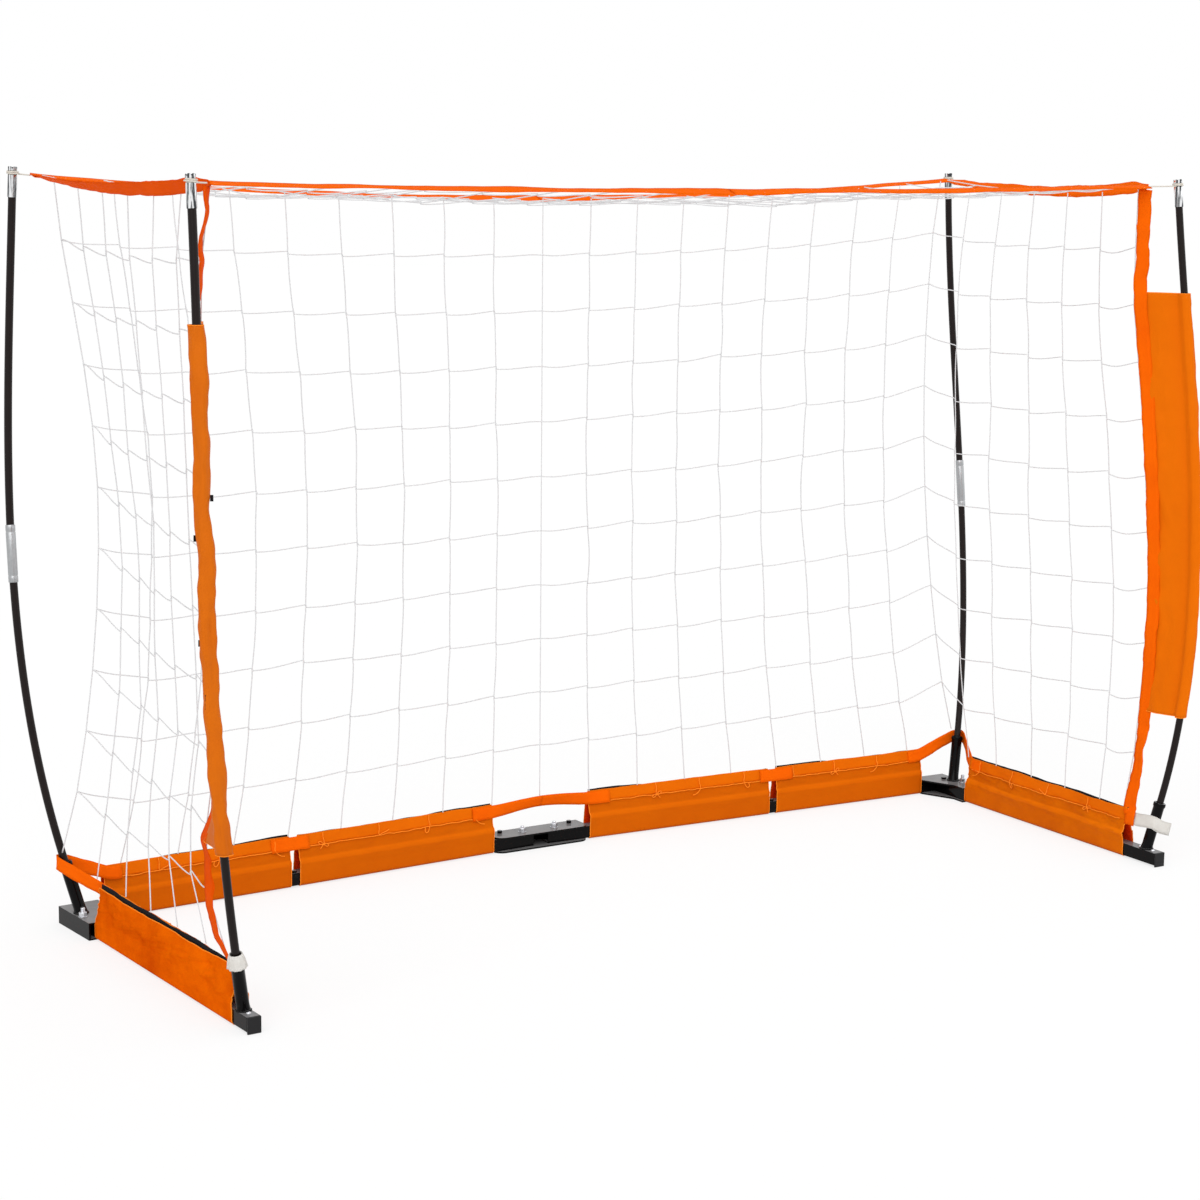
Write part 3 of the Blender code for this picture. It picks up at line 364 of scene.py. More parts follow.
def modified(piece, kind, **settings):
    """Shape a piece with one modifier, for good."""
    only(piece)
    made = with_settings(piece.modifiers.new(kind.lower(), kind), settings)
    bpy.ops.object.modifier_apply(modifier=made.name)
    return piece


def seen_directly(tree):
    """1 for what is seen, also in a mirror or through glass, and 0 for light that falls on things."""
    rays = new_node(tree, "LightPath", {}, "Is Camera Ray")
    return (rays + rays.beside("Is Glossy Ray") + rays.beside("Is Transmission Ray")).maths("MINIMUM", 1.0)


bpy.ops.mesh.primitive_plane_add(size=40.0, location=(0.0, 0.0, -0.0005))
floor = bpy.context.object
floor.name = "floor"
floor_paint = Finish("floor_paint", Roughness=0.9)
floor_paint.feed(Base_Color=floor_paint.grain(0.7).mixed((0.93, 0.93, 0.93), (0.96, 0.96, 0.96)))
glow = floor_paint.start("Emission", "Emission")
own = Wire(floor_paint.tree, floor_paint.shader.outputs["BSDF"])
shown = own.node("MixShader", {0: seen_directly(own.tree) * FLOOR_GLOW, 1: own, 2: glow})
own.tree.links.new(shown.socket, own.tree.nodes["Material Output"].inputs["Surface"])
floor.data.materials.append(floor_paint.material)
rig.stage(floor)

world = bpy.data.worlds.new("sky")
bpy.context.scene.world = world
world.use_nodes = True
background = world.node_tree.nodes["Background"]
brightness = seen_directly(world.node_tree) * (1.0 - SKY_LIGHT) + SKY_LIGHT
world.node_tree.links.new(brightness.socket, background.inputs["Strength"])
background.inputs["Color"].default_value = (1.0,) * 4

for name, (strength, spread_angle, direction) in LAMPS.items():
    lamp = bpy.data.lights.new(name, "SUN")
    lamp.energy = strength
    lamp.angle = radians(spread_angle)
    placed(name, lamp).rotation_euler = Vector(direction).to_track_quat("-Z", "Y").to_euler()


# Steel base: square tube bars, the folded plate of the centre hinge and the
# wedge-shaped corner brackets. Pressed and sawn steel with eased edges, all in
# gloss black powder coat, with a pale painted reflection on the level faces.
SIDES = {"left": -1.0, "right": 1.0}
EAST, NORTH, UP = Matrix.Identity(3)
BAR_TOP = 0.0255
PLATE_TOP = 0.0288
HALF_SWEEP, HALF_LENGTH = 0.047, 0.876
SIDE_TAPER, SIDE_LENGTH = 0.025, 0.620
FOLD_PITCH = 0.0229


def swung(first, second, angle):
    """From one direction towards another that is square to it, by an angle."""
    return first * cos(angle) + second * sin(angle)


class Plan:
    """Directions and places along one side's half bar and side bar, seen from above."""

    def __init__(self, side):
        self.side = side
        self.sign = SIDES[side]
        low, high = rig.box(f"hinge_bolt_{side}")
        self.bolt = Vector(((low.x + high.x) / 2.0, (low.y + high.y) / 2.0, 0.0))
        self.outward = self.across(cos(HALF_SWEEP), -sin(HALF_SWEEP))
        self.forward = self.across(-sin(HALF_SWEEP), -cos(HALF_SWEEP))
        self.ahead = self.across(-sin(SIDE_TAPER), -cos(SIDE_TAPER))
        self.aside = self.across(cos(SIDE_TAPER), -sin(SIDE_TAPER))
        self.pivot = self.on_half(HALF_LENGTH, FOLD_PITCH)

    def on_half(self, out, forward=0.0, z=0.0):
        return self.bolt + self.outward * out + self.forward * forward + UP * z

    def on_side(self, forward, out=0.0, z=0.0):
        return self.pivot + self.ahead * forward + self.aside * out + UP * z

    def across(self, out, back=0.0, z=0.0):
        return Vector((self.sign * out, back, z))

    def corner_bend(self, end=0.25):
        """Cloth that turns the back corner: it goes from the half bar's body to the side bar's."""
        return f"half_{self.side}", f"side_{self.side}", self.on_side(-0.01), self.on_side(end)

    def middle_bend(self, end=0.16):
        """Cloth that crosses the centre hinge: it goes from the hinge's body to the half bar's."""
        return "centre_hinge", f"half_{self.side}", self.across(0.0), self.across(end)


PLANS = {side: Plan(side) for side in SIDES}


def dress(obj, look, body, slot, *nodes):
    """Give a finished piece its material (or those outside and inside), its body (or two
    with the places between which it bends), its slot and the nodes it stands for."""
    if isinstance(look, tuple):
        for i, face in enumerate(look):
            obj.data.materials[i] = face.material
    else:
        obj.data.materials.clear()
        obj.data.materials.append(look.material)
    if isinstance(body, str):
        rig.ride(obj, body)
    else:
        first, second, start, end = body
        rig.blend(obj, first, second, start=start, end=end)
    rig.slot(obj, slot)
    if nodes:
        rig.replaces(obj, *nodes)
    return obj


def powder_coat(name, gloss):
    coat = Finish(name, Specular_IOR_Level=0.09)
    blotch = coat.grain(35.0)
    speck = coat.grain(900.0, detail=2.0)
    scuff = coat.grain(55.0, upward=3.0, detail=6.0, roughness=0.75).over(0.66, 0.05)
    dark = blotch.mixed((0.0015, 0.0013, 0.0015), (0.0040, 0.0034, 0.0036))
    # Level faces are painted pale, patchy by the blotches: a painted reflection of the bright surroundings.
    level_face = coat.start("NewGeometry", "Normal").part(2).over(0.95, 0.03)
    dusty = (level_face * (blotch * 0.5 + 0.6)).mixed(dark, (0.210, 0.205, 0.208))
    coat.feed(
        Base_Color=(scuff * 0.30).mixed(dusty, (0.060, 0.056, 0.054)),
        Roughness=blotch * 0.06 + speck * 0.03 + scuff * 0.22 + gloss,
    )
    coat.bump(speck * 0.5 + blotch * 0.5, 0.00005)
    return coat


def eased(node, width, look, slot, body):
    """A steel part with its sharp edges rounded, made on a joined copy of its solid."""
    source = frame["nodes"][node]
    piece = placed(f"{node}_steel", source.data.copy())
    piece.matrix_basis = source.matrix_basis
    bpy.ops.mesh.customdata_custom_splitnormals_clear()
    bpy.ops.object.mode_set(mode="EDIT")
    bpy.ops.mesh.select_all(action="SELECT")
    bpy.ops.mesh.remove_doubles(threshold=1.0e-5)
    bpy.ops.mesh.dissolve_limited(angle_limit=radians(1.0))
    bpy.ops.object.mode_set(mode="OBJECT")
    modified(
        piece, "BEVEL", width=width, segments=3, limit_method="ANGLE", angle_limit=radians(40.0),
        harden_normals=True,
    )
    return dress(piece, look, body, slot, node)


steel = powder_coat("black_powder_coat", 0.05)
eased("hinge_channel", 0.0009, steel, "black_steel", "centre_hinge")
for side in SIDES:
    eased(f"half_bar_{side}", 0.0012, steel, "black_steel", f"half_{side}")
    eased(f"corner_bracket_{side}", 0.0009, steel, "black_steel", f"half_{side}")
    eased(f"side_bar_{side}", 0.0012, steel, "black_steel", f"side_{side}")


# End plugs: moulded black plastic caps pressed into the side bars' front ends,
# with a lip that stands on the ground.
plastic = Finish("black_plastic", Specular_IOR_Level=0.25)
pebble = plastic.grain(1400.0, detail=1.0)
fade = plastic.grain(60.0)
plastic.feed(
    Base_Color=fade.mixed((0.006, 0.006, 0.007), (0.012, 0.011, 0.012)),
    Roughness=fade * 0.2 + 0.38,
)
plastic.bump(pebble, 0.0001)
for side in SIDES:
    eased(f"end_plug_{side}", 0.0014, plastic, "black_plastic", f"side_{side}")


# Bolts: zinc-plated steel, a hexagon nut over a washer on each hinge pin, and
# a taller stack on the corner stops. The thread's end stands out of the nut.
NUT_FLATS, NUT_TALL = 0.0112, 0.0068
WASHER_OUT, WASHER_THICK = 0.0074, 0.0012
THREAD_OUT, THREAD_PITCH = 0.0036, 0.0010
PIN_OUT = 0.0039
PLATE_SEAT = PLATE_TOP + 0.0001
STOP_AT = (0.040, 0.0154)

zinc = Finish("zinc_plate", Metallic=1.0)
where = zinc.place()
patch = where.node("TexVoronoi", {"Vector": where, "Scale": 420.0}, "Color").part(0)
streak = zinc.grain(120.0, upward=0.15, detail=5.0)
bright = (patch * 0.35 + streak * 0.65).mixed((0.46, 0.47, 0.50), (0.80, 0.81, 0.84))
zinc.feed(Base_Color=bright, Roughness=streak * 0.22 + patch * 0.08 + 0.14)
zinc.bump(streak + patch * 0.3, 0.00008)


def turned(name, profile, foot, axis, steps):
    """A lathed piece: a closed profile of (radius, height) spun round an axis."""
    links = [(i, (i + 1) % len(profile)) for i in range(len(profile))]
    if profile[0][0] == 0.0:
        links.pop()
    piece = meshed(name, [(radius, 0.0, height) for radius, height in profile], links, [])
    bpy.ops.object.mode_set(mode="EDIT")
    bpy.ops.mesh.select_all(action="SELECT")
    bpy.ops.mesh.spin(steps=steps, angle=2.0 * pi, center=(0.0, 0.0, 0.0), axis=(0.0, 0.0, 1.0))
    bpy.ops.mesh.select_all(action="SELECT")
    bpy.ops.mesh.remove_doubles(threshold=1.0e-6)
    bpy.ops.mesh.normals_make_consistent(inside=False)
    bpy.ops.object.mode_set(mode="OBJECT")
    bpy.ops.object.shade_smooth_by_angle(angle=radians(35.0))
    lean = Vector(axis).normalized().to_track_quat("Z", "X").to_matrix().to_4x4()
    piece.data.transform(Matrix.Translation(foot) @ lean)
    return piece


def joined(name, *pieces):
    """Several meshes made one piece."""
    only(pieces[0])
    for piece in pieces:
        piece.select_set(True)
    bpy.ops.object.join()
    pieces[0].name = name
    return pieces[0]


def hexagon_nut(name, at, flats, tall):
    """A six-sided nut with its corners turned off top and bottom."""
    bpy.ops.mesh.primitive_cylinder_add(
        vertices=6, radius=flats / sqrt(3.0), depth=tall, location=at + UP * (tall / 2.0)
    )
    nut = bpy.context.object
    nut.name = name
    bpy.ops.object.transform_apply(location=True, rotation=True, scale=True)
    return modified(nut, "BEVEL", width=tall * 0.09, segments=2, limit_method="ANGLE")


def threaded_end(name, at, radius, length):
    """The thread that stands out of a nut, as rings a pitch apart, with a chamfered tip."""
    profile = [(0.0, 0.0), (radius, 0.0)]
    for i in range(int(length / THREAD_PITCH)):
        z = i * THREAD_PITCH
        profile += [(radius, z + THREAD_PITCH * 0.35), (radius * 0.86, z + THREAD_PITCH * 0.8)]
    profile += [(radius * 0.78, length), (0.0, length)]
    return turned(name, profile, at, UP, 20)


def washer(name, at, radius, thick):
    edge = thick * 0.25
    profile = [
        (0.0, 0.0), (radius - edge, 0.0), (radius, edge), (radius, thick - edge),
        (radius - edge, thick), (0.0, thick),
    ]
    return turned(name, profile, at, UP, 28)


def bolt_stack(name, at, thread_out, body, node):
    """Washer, nut and thread on a plate, and the pin below them."""
    seat = at + UP * WASHER_THICK
    pin = [(0.0, 0.0), (PIN_OUT, 0.0), (PIN_OUT, PLATE_TOP), (0.0, PLATE_TOP)]
    stack = joined(
        name,
        washer(f"{name}_washer", at, WASHER_OUT, WASHER_THICK),
        hexagon_nut(f"{name}_nut", seat, NUT_FLATS, NUT_TALL),
        threaded_end(f"{name}_thread", seat + UP * NUT_TALL, THREAD_OUT, thread_out),
        turned(f"{name}_pin", pin, Vector((at.x, at.y, 0.0004)), UP, 20),
    )
    return dress(stack, zinc, body, "zinc_plate", node)


for side, plan in PLANS.items():
    at = plan.bolt + UP * PLATE_SEAT
    bolt_stack(f"hinge_nut_{side}", at, 0.0035, "centre_hinge", f"hinge_bolt_{side}")
    at = plan.on_side(*STOP_AT, PLATE_SEAT)
    bolt_stack(f"corner_nut_{side}", at, 0.0072, f"half_{side}", f"corner_bolt_{side}")


# Pole sockets: short leaning steel tubes with a rolled rim, welded on the
# corner brackets at the back and on the side bars at the front, where a
# small plated screw stands on each side of the weld.
SOCKET_OUT, SOCKET_BORE, SOCKET_LONG = 0.0100, 0.0069, 0.088
LEANS = {"back": (0.237, 0.186), "front": (0.190, -0.140)}
WELD_STEPS, WELD_SIDES = 72, 8
FRONT_SOCKET_AT = SIDE_LENGTH - 0.036
SCREW_HEAD = ((0.0, 0.0), (0.0038, 0.0), (0.0037, 0.0010), (0.0029, 0.0020), (0.0014, 0.0024), (0.0, 0.0025))

gloss_steel = powder_coat("black_gloss_coat", 0.04)


def grid_faces(columns, rows, closed=False):
    """Faces of a grid of points kept column by column, closed both ways or open."""
    ends = (columns, rows) if closed else (columns - 1, rows - 1)
    faces = []
    for i in range(ends[0]):
        for j in range(ends[1]):
            here, there = i * rows, (i + 1) % columns * rows
            above = (j + 1) % rows
            faces.append((here + j, there + j, there + above, here + above))
    return faces


def pole_socket(name, foot, axis, body, node):
    """A tube spread at its foot, with a rolled rim, in a rippled ring of weld."""
    bore, out, rim = SOCKET_BORE, SOCKET_OUT, SOCKET_LONG
    profile = [
        (bore, -0.002), (out + 0.0012, -0.002), (out + 0.0006, 0.004), (out, 0.009), (out, rim - 0.0085),
        (out + 0.0004, rim - 0.0078), (out + 0.0011, rim - 0.0068), (out + 0.0013, rim - 0.004),
        (out + 0.0011, rim - 0.0012), (out + 0.0003, rim - 0.0001), (bore + 0.0014, rim),
        (bore + 0.0003, rim - 0.0006), (bore, rim - 0.0018),
    ]
    tube = turned(f"{name}_tube", profile, foot, axis, 40)
    points = []
    for i in range(WELD_STEPS):
        angle = 2.0 * pi * i / WELD_STEPS
        bead = 0.0019 + 0.0003 * sin(18.0 * angle) + 0.0003 * noise.noise((angle, foot.x, 3.0))
        outward = swung(EAST, NORTH, angle)
        centre = foot + UP * 0.0002 + outward * (SOCKET_OUT + 0.0008)
        for j in range(WELD_SIDES):
            points.append(centre + swung(outward, UP, 2.0 * pi * j / WELD_SIDES) * bead)
    weld = meshed(f"{name}_weld", points, [], grid_faces(WELD_STEPS, WELD_SIDES, closed=True))
    bpy.ops.object.shade_smooth()
    return dress(joined(name, tube, weld), gloss_steel, body, "black_steel", node)


FEET, AXES = {}, {}
for side, plan in PLANS.items():
    FEET["back", side] = plan.on_side(0.018, 0.009, PLATE_TOP + 0.0003)
    FEET["front", side] = plan.on_side(FRONT_SOCKET_AT, 0.0, BAR_TOP + 0.0003)
    for place, body in (("back", f"half_{side}"), ("front", f"side_{side}")):
        AXES[place, side] = plan.across(*LEANS[place], 1.0).normalized()
        name = f"socket_tube_{place}_{side}"
        pole_socket(name, FEET[place, side], AXES[place, side], body, f"{place}_socket_{side}")
    screws = []
    for step in (-0.0155, 0.0165):
        at = plan.on_side(FRONT_SOCKET_AT + step, 0.0, BAR_TOP + 0.0001)
        screws.append(turned(f"screw_{side}_{len(screws)}", SCREW_HEAD, at, UP, 20))
    dress(joined(f"socket_screws_{side}", *screws), zinc, f"side_{side}", "zinc_plate")


# Poles: black glass-fibre rod in two lengths, bowed by the net, joined by an
# aluminium ferrule and tipped with a zinc cap. The cap's notched head, plugged
# with black plastic, keeps the tie cord on its neck.
TOP = 1.220
POLE_OUT = 0.00635
FERRULE_MID, FERRULE_LONG, FERRULE_OUT = 0.610, 0.092, 0.0078
CAP_OUT, CAP_BODY, CAP_NECK_OUT, CAP_NECK, CAP_HEAD = 0.0075, 0.036, 0.0052, 0.005, 0.007
CAP_TALL = CAP_BODY + CAP_NECK + CAP_HEAD
POLE_BORE, CAP_BORE = POLE_OUT + 0.0002, 0.033
NOTCH_WIDE, NOTCH_DEEP = 0.0023, 0.0032
TIPS = {"back": ((0.041, 0.127), (-0.050, 0.005)), "front": ((0.045, 0.045), (-0.020, 0.124))}


class Pole:
    """The bowed centre line of a pole, from its socket's mouth to its cap."""

    def __init__(self, place, plan):
        self.sign = plan.sign
        self.foot = FEET[place, plan.side]
        self.axis = AXES[place, plan.side]
        self.lean = LEANS[place]
        self.tip, self.tip_slope = TIPS[place]
        self.cap_axis = plan.across(*self.tip_slope, 1.0).normalized()
        self.cap_foot = TOP - CAP_TALL * self.cap_axis.z
        self.mouth = self.foot.z + SOCKET_LONG * self.axis.z
        below, above = (self.curve(FERRULE_MID + end * FERRULE_LONG / 2.0) for end in (-1.0, 1.0))
        self.joint_axis = (above - below).normalized()
        self.joint = (above + below) / 2.0

    def curve(self, z):
        point = Vector((self.foot.x, self.foot.y, z))
        for i, turned_to in ((0, self.sign), (1, 1.0)):
            span = self.cap_foot - self.mouth
            t = (z - self.mouth) / span
            if t <= 0.0:
                offset = self.lean[i] * (z - self.foot.z)
            elif t > 1.0:
                offset = self.tip[i] + self.tip_slope[i] * (z - self.cap_foot)
            else:
                offset = (
                    (2 * t**3 - 3 * t**2 + 1) * self.lean[i] * (self.mouth - self.foot.z)
                    + (t**3 - 2 * t**2 + t) * span * self.lean[i]
                    + (3 * t**2 - 2 * t**3) * self.tip[i]
                    + (t**3 - t**2) * span * self.tip_slope[i]
                )
            point[i] += turned_to * offset
        return point

    def on_cap(self, along):
        return self.curve(self.cap_foot) + self.cap_axis * along


POLES = {(place, side): Pole(place, plan) for side, plan in PLANS.items() for place in LEANS}


def spread(first, last, count):
    """The ends of a range and the places that cut it in equal parts."""
    return [first + (last - first) * i / count for i in range(count + 1)]


def corded(name, paths, radius, resolution):
    """Round cords along paths, as one mesh."""
    data = bpy.data.curves.new(name, "CURVE")
    data.dimensions = "3D"
    data.bevel_depth = radius
    data.bevel_resolution = resolution
    data.use_fill_caps = True
    for path in paths:
        line = data.splines.new("POLY")
        line.points.add(len(path) - 1)
        for point, place in zip(line.points, path):
            point.co = (*place, 1.0)
    placed(name, data)
    bpy.ops.object.convert(target="MESH")
    return bpy.context.object


def bent_rod(name, path, radius, resolution):
    """A round rod or cord along a path."""
    rod = corded(name, [path], radius, resolution)
    bpy.ops.object.shade_smooth_by_angle(angle=radians(50.0))
    return rod


fibre = Finish("black_glass_fibre", Specular_IOR_Level=0.18)
strand_lines = fibre.grain(260.0, upward=0.03, detail=4.0)
smear = fibre.grain(24.0, upward=0.4)
rub = fibre.grain(90.0, upward=0.12, detail=6.0, roughness=0.8).over(0.68, 0.05)
brown = strand_lines.mixed((0.0050, 0.0028, 0.0026), (0.0120, 0.0066, 0.0058))
fibre.feed(
    Base_Color=(rub * 0.25).mixed(brown, (0.060, 0.050, 0.046)),
    Roughness=smear * 0.2 + strand_lines * 0.1 + rub * 0.15 + 0.18,
)
fibre.bump(strand_lines, 0.00008)

alloy = Finish("aluminium", Metallic=1.0)
drawn = alloy.grain(380.0, upward=0.02, detail=5.0)
flake = alloy.grain(300.0, detail=5.0, roughness=0.8)
cloud = alloy.grain(45.0)
alloy.feed(
    Base_Color=(drawn * 0.5 + flake * 0.5).mixed((0.20, 0.21, 0.22), (0.62, 0.63, 0.64)),
    Roughness=drawn * 0.18 + cloud * 0.2 + 0.20,
)
alloy.bump(drawn + flake, 0.00006)

# The caps' zinc has dark and bright bands along its length painted into its colour: painted reflections of dark and
# bright surroundings.
cap_zinc = Finish("streaked_zinc", Metallic=1.0)
long_streak = cap_zinc.grain(230.0, upward=0.04, detail=2.0)
short_streak = cap_zinc.grain(900.0, upward=0.25, detail=3.0)
contrast = (long_streak * 0.85 + short_streak * 0.15).over(0.49, 0.07)
cap_zinc.feed(
    Base_Color=contrast.mixed((0.05, 0.055, 0.06), (0.86, 0.87, 0.88)),
    Roughness=short_streak * 0.12 + 0.10,
)
cap_zinc.bump(long_streak, 0.00012)


def ferrule_tube(name, pole):
    """A tube with a ring crimped in near each end."""
    half, out = FERRULE_LONG / 2.0, FERRULE_OUT
    profile = [(POLE_BORE, -half), (out - 0.0004, -half), (out, -half + 0.0006)]
    for crimp in (-half + 0.011, half - 0.011):
        profile += [
            (out, crimp - 0.0014), (out - 0.0004, crimp - 0.0006), (out - 0.0004, crimp + 0.0006),
            (out, crimp + 0.0014),
        ]
    profile += [(out, half - 0.0006), (out - 0.0004, half), (POLE_BORE, half)]
    return turned(name, profile, pole.joint, pole.joint_axis, 40)


def notched_cap(name, pole):
    """A cap turned with a neck, its hollow head cut by three crossing slots."""
    out, neck, top = CAP_OUT, CAP_BODY + CAP_NECK, CAP_TALL
    profile = [
        (0.0, CAP_BORE + 0.0005), (POLE_BORE, CAP_BORE), (POLE_BORE, 0.0), (out - 0.0003, 0.0),
        (out, 0.0005), (out, CAP_BODY - 0.0012), (out - 0.0009, CAP_BODY),
        (CAP_NECK_OUT + 0.0006, CAP_BODY + 0.0004), (CAP_NECK_OUT, CAP_BODY + 0.0014),
        (CAP_NECK_OUT, neck - 0.0010), (CAP_NECK_OUT + 0.0005, neck), (out - 0.0003, neck + 0.0002),
        (out, neck + 0.0008), (out, top - 0.0006), (out - 0.0005, top), (0.0044, top),
        (0.0041, top - 0.0036), (0.0, top - 0.0040),
    ]
    cap = turned(name, profile, Vector((0.0, 0.0, 0.0)), UP, 48)
    cutters = []
    for i in range(3):
        turn = (0.0, 0.0, pi * i / 3.0)
        bpy.ops.mesh.primitive_cube_add(size=1.0, location=(0.0, 0.0, top), rotation=turn)
        cutters.append(bpy.context.object)
        cutters[i].scale = (0.020, NOTCH_WIDE, 2.0 * NOTCH_DEEP)
        bpy.ops.object.transform_apply(location=True, rotation=True, scale=True)
    cutter = joined(f"{name}_notches", *cutters)
    modified(cap, "BOOLEAN", operation="DIFFERENCE", solver="EXACT", use_self=True, object=cutter)
    bpy.ops.object.shade_smooth_by_angle(angle=radians(35.0))
    bpy.data.objects.remove(cutter)
    lean = pole.cap_axis.to_track_quat("Z", "X").to_matrix().to_4x4()
    cap.data.transform(Matrix.Translation(pole.on_cap(0.0)) @ lean)
    return cap


for (place, side), pole in POLES.items():
    corner = f"{place}_{side}"
    half = FERRULE_LONG / 2.0
    meet = pole.joint_axis * 0.0004
    foot, tip = pole.foot + pole.axis * 0.003, pole.on_cap(CAP_BORE - 0.002)
    for length, body, first, last, start, end in (
        ("lower", "pole", pole.mouth, FERRULE_MID - half, foot, pole.joint - meet),
        ("upper", "pole_top", FERRULE_MID + half, pole.cap_foot, pole.joint + meet, tip),
    ):
        path = [start, *(pole.curve(z) for z in spread(first, last, 30)), end]
        rod = bent_rod(f"rod_{length}_{corner}", path, POLE_OUT, 6)
        dress(rod, fibre, f"{body}_{corner}", "glass_fibre", f"pole_{length}_{corner}")

    tube = ferrule_tube(f"ferrule_tube_{corner}", pole)
    dress(tube, alloy, f"pole_{corner}", "aluminium", f"ferrule_{corner}")
    cap = notched_cap(f"cap_{corner}", pole)
    dress(cap, cap_zinc, f"pole_top_{corner}", "zinc_plate", f"pole_cap_{corner}")
    low, high = CAP_TALL - 0.0046, CAP_TALL - 0.0010
    profile = [(0.0, low), (0.0042, low), (0.0042, high - 0.0004), (0.0038, high), (0.0, high)]
    insert = turned(f"cap_insert_{corner}", profile, pole.on_cap(0.0), pole.cap_axis, 24)
    dress(insert, plastic, f"pole_top_{corner}", "black_plastic")


# Base sleeves: coated orange polyester wrapped round each bar, creased along
# the inside, lined in deeper orange and closed at the top with black
# hook-and-loop tape. Two sit on each half bar and one on each side bar. Inside
# the top edge a hem band is sewn on, with a bright cord laced along its foot.
SLEEVE_TOP, SLEEVE_LOW, SLEEVE_FOOT, SLEEVE_HALF = 0.0895, 0.0060, 0.0020, 0.0124
OUTER_FACE = ((SLEEVE_LOW, SLEEVE_HALF), (0.0275, SLEEVE_HALF), (SLEEVE_TOP, 0.0020))
CREASE = (*OUTER_FACE[:2], (0.0462, 0.0122), (0.0492, 0.0086), OUTER_FACE[2])
OUTSIDE_DROP = 0.0045
FOLD_HEIGHT, FOLD_SOFT = 0.0450, 0.0060
SLEEVE_THICK = 0.0009
HEM_LOW, HEM_LIFT = 0.0690, 0.0011
TAPE_TALL, TAPE_THICK = 0.020, 0.0011
LACE_OUT = 0.0008
BACK_TAPE = ((0.0, 0.0030), (0.09, 0.0020), (0.14, -0.0004), (1.0, -0.0004))
SIDE_TAPE = ((0.0, 0.0020), (1.0, 0.0020))
MESH = 0.1035
INNER, OUTER = (0.070, 0.466), (0.484, 0.828)
SIDE_START = 0.082
SIDE_SET = {"left": 0.049, "right": 0.085}
SIDE_SLACK = {"left": 1.7, "right": 1.5}
CLOTH_STEP, HEM_STEP, LACE_STEP = 0.0055, 0.006, 0.004
CLOTH_WEAVE = 0.0011
STITCH = ((0.0, 0.0205), (0.001, 0.012), (-0.001, 0.004), (0.0, 0.0))
TAILS = (
    ((0.0, 0.0), (0.004, -0.005), (0.010, -0.009), (0.017, -0.010)),
    ((0.0, 0.0), (0.003, -0.007), (0.008, -0.010), (0.011, -0.006), (0.009, 0.0)),
    ((0.0, 0.0), (0.006, 0.003), (0.013, 0.0045), (0.020, 0.0075)),
    ((0.0, 0.0), (0.007, 0.006), (0.012, 0.004), (0.006, -0.001), (0.001, 0.0), (-0.006, -0.006),
     (-0.010, -0.003), (-0.004, 0.001), (0.001, 0.0), (0.008, -0.007)),
)


def cloth_grid(name, columns, flat_width, flat_length, thick, lined=False):
    """A sheet through columns of points, with its flat size as UVs, made as thick as its cloth."""
    rows = len(columns[0])
    points = [point for column in columns for point in column]
    sheet = meshed(name, points, [], grid_faces(len(columns), rows))
    layer = sheet.data.uv_layers.new(name="metres")
    for loop in sheet.data.loops:
        i, j = divmod(loop.vertex_index, rows)
        layer.data[loop.index].uv = (flat_width * j / (rows - 1), flat_length * i / (len(columns) - 1))
    bpy.ops.object.shade_smooth()
    for _ in range(2 * lined):
        sheet.data.materials.append(None)
    return modified(sheet, "SOLIDIFY", thickness=thick, offset=0.0, material_offset=int(lined))


def path_length(points):
    return sum((b - a).length for a, b in zip(points, points[1:]))


def resampled(points, values, count):
    """Points spaced evenly along a polyline, and the vectors given at its points, read there."""
    steps = [0.0]
    for a, b in zip(points, points[1:]):
        steps.append(steps[-1] + (b - a).length)
    places, read = [], []
    k = 0
    for i in range(count):
        target = steps[-1] * i / (count - 1)
        while k < len(points) - 2 and steps[k + 1] < target:
            k += 1
        share = (target - steps[k]) / (steps[k + 1] - steps[k])
        places.append(points[k].lerp(points[k + 1], share))
        read.append(values[k].lerp(values[k + 1], share))
    return places, read


def stepped(table, x):
    """Value at x in a table of (x, value) pairs, straight between them."""
    for (low, first), (high, last) in zip(table, table[1:]):
        if x <= high:
            return first + (last - first) * max(0.0, (x - low) / (high - low))
    return table[-1][1]


def ripple(x, y, seed):
    """Smooth random height from -1 to 1."""
    return noise.fractal(Vector((x, y, seed)), 0.6, 2.0, 3)


def cloth_finish(name, colour, deep, gloss=0.02, pale_fold=0.0, mottle=0.25):
    """Coated polyester: plain weave, soft colour changes at random, fine creases with their hollows painted deeper as
    painted shade, and a painted highlight along the crease where asked.
    """
    look = Finish(name, Specular_IOR_Level=gloss)
    across, along = look.across_along()
    threads = across.waves(CLOTH_WEAVE) * along.waves(CLOTH_WEAVE) * 0.5 + 0.5
    shade = look.grain(9.0, detail=5.0)
    crease = look.grain(34.0, upward=1.6, detail=6.0, roughness=0.7)
    # The crease relief also sets the colour: its hollows come out deeper, a painted shade in the creases, on top of the
    # random change of tone.
    tint = (shade * 0.6 + crease * 0.3 + threads * 0.1).over(0.5, mottle)
    # A band round the crease's height is mixed towards a lighter copy of the colour: a painted highlight along the
    # crease where it faces up.
    off_fold = (look.place().part(2) - FOLD_HEIGHT).maths("ABSOLUTE")
    fold = off_fold.node("MapRange", {"Value": off_fold, "From Min": FOLD_SOFT, "From Max": FOLD_SOFT / 2.0})
    worn = tuple(min(1.0, part * 1.35) for part in colour)
    look.feed(
        Base_Color=(fold * pale_fold).mixed(tint.mixed(deep, colour), worn),
        Roughness=shade * 0.15 + crease * 0.15 + 0.40,
    )
    look.bump(threads * 0.05 + crease * 0.6, 0.0008)
    return look


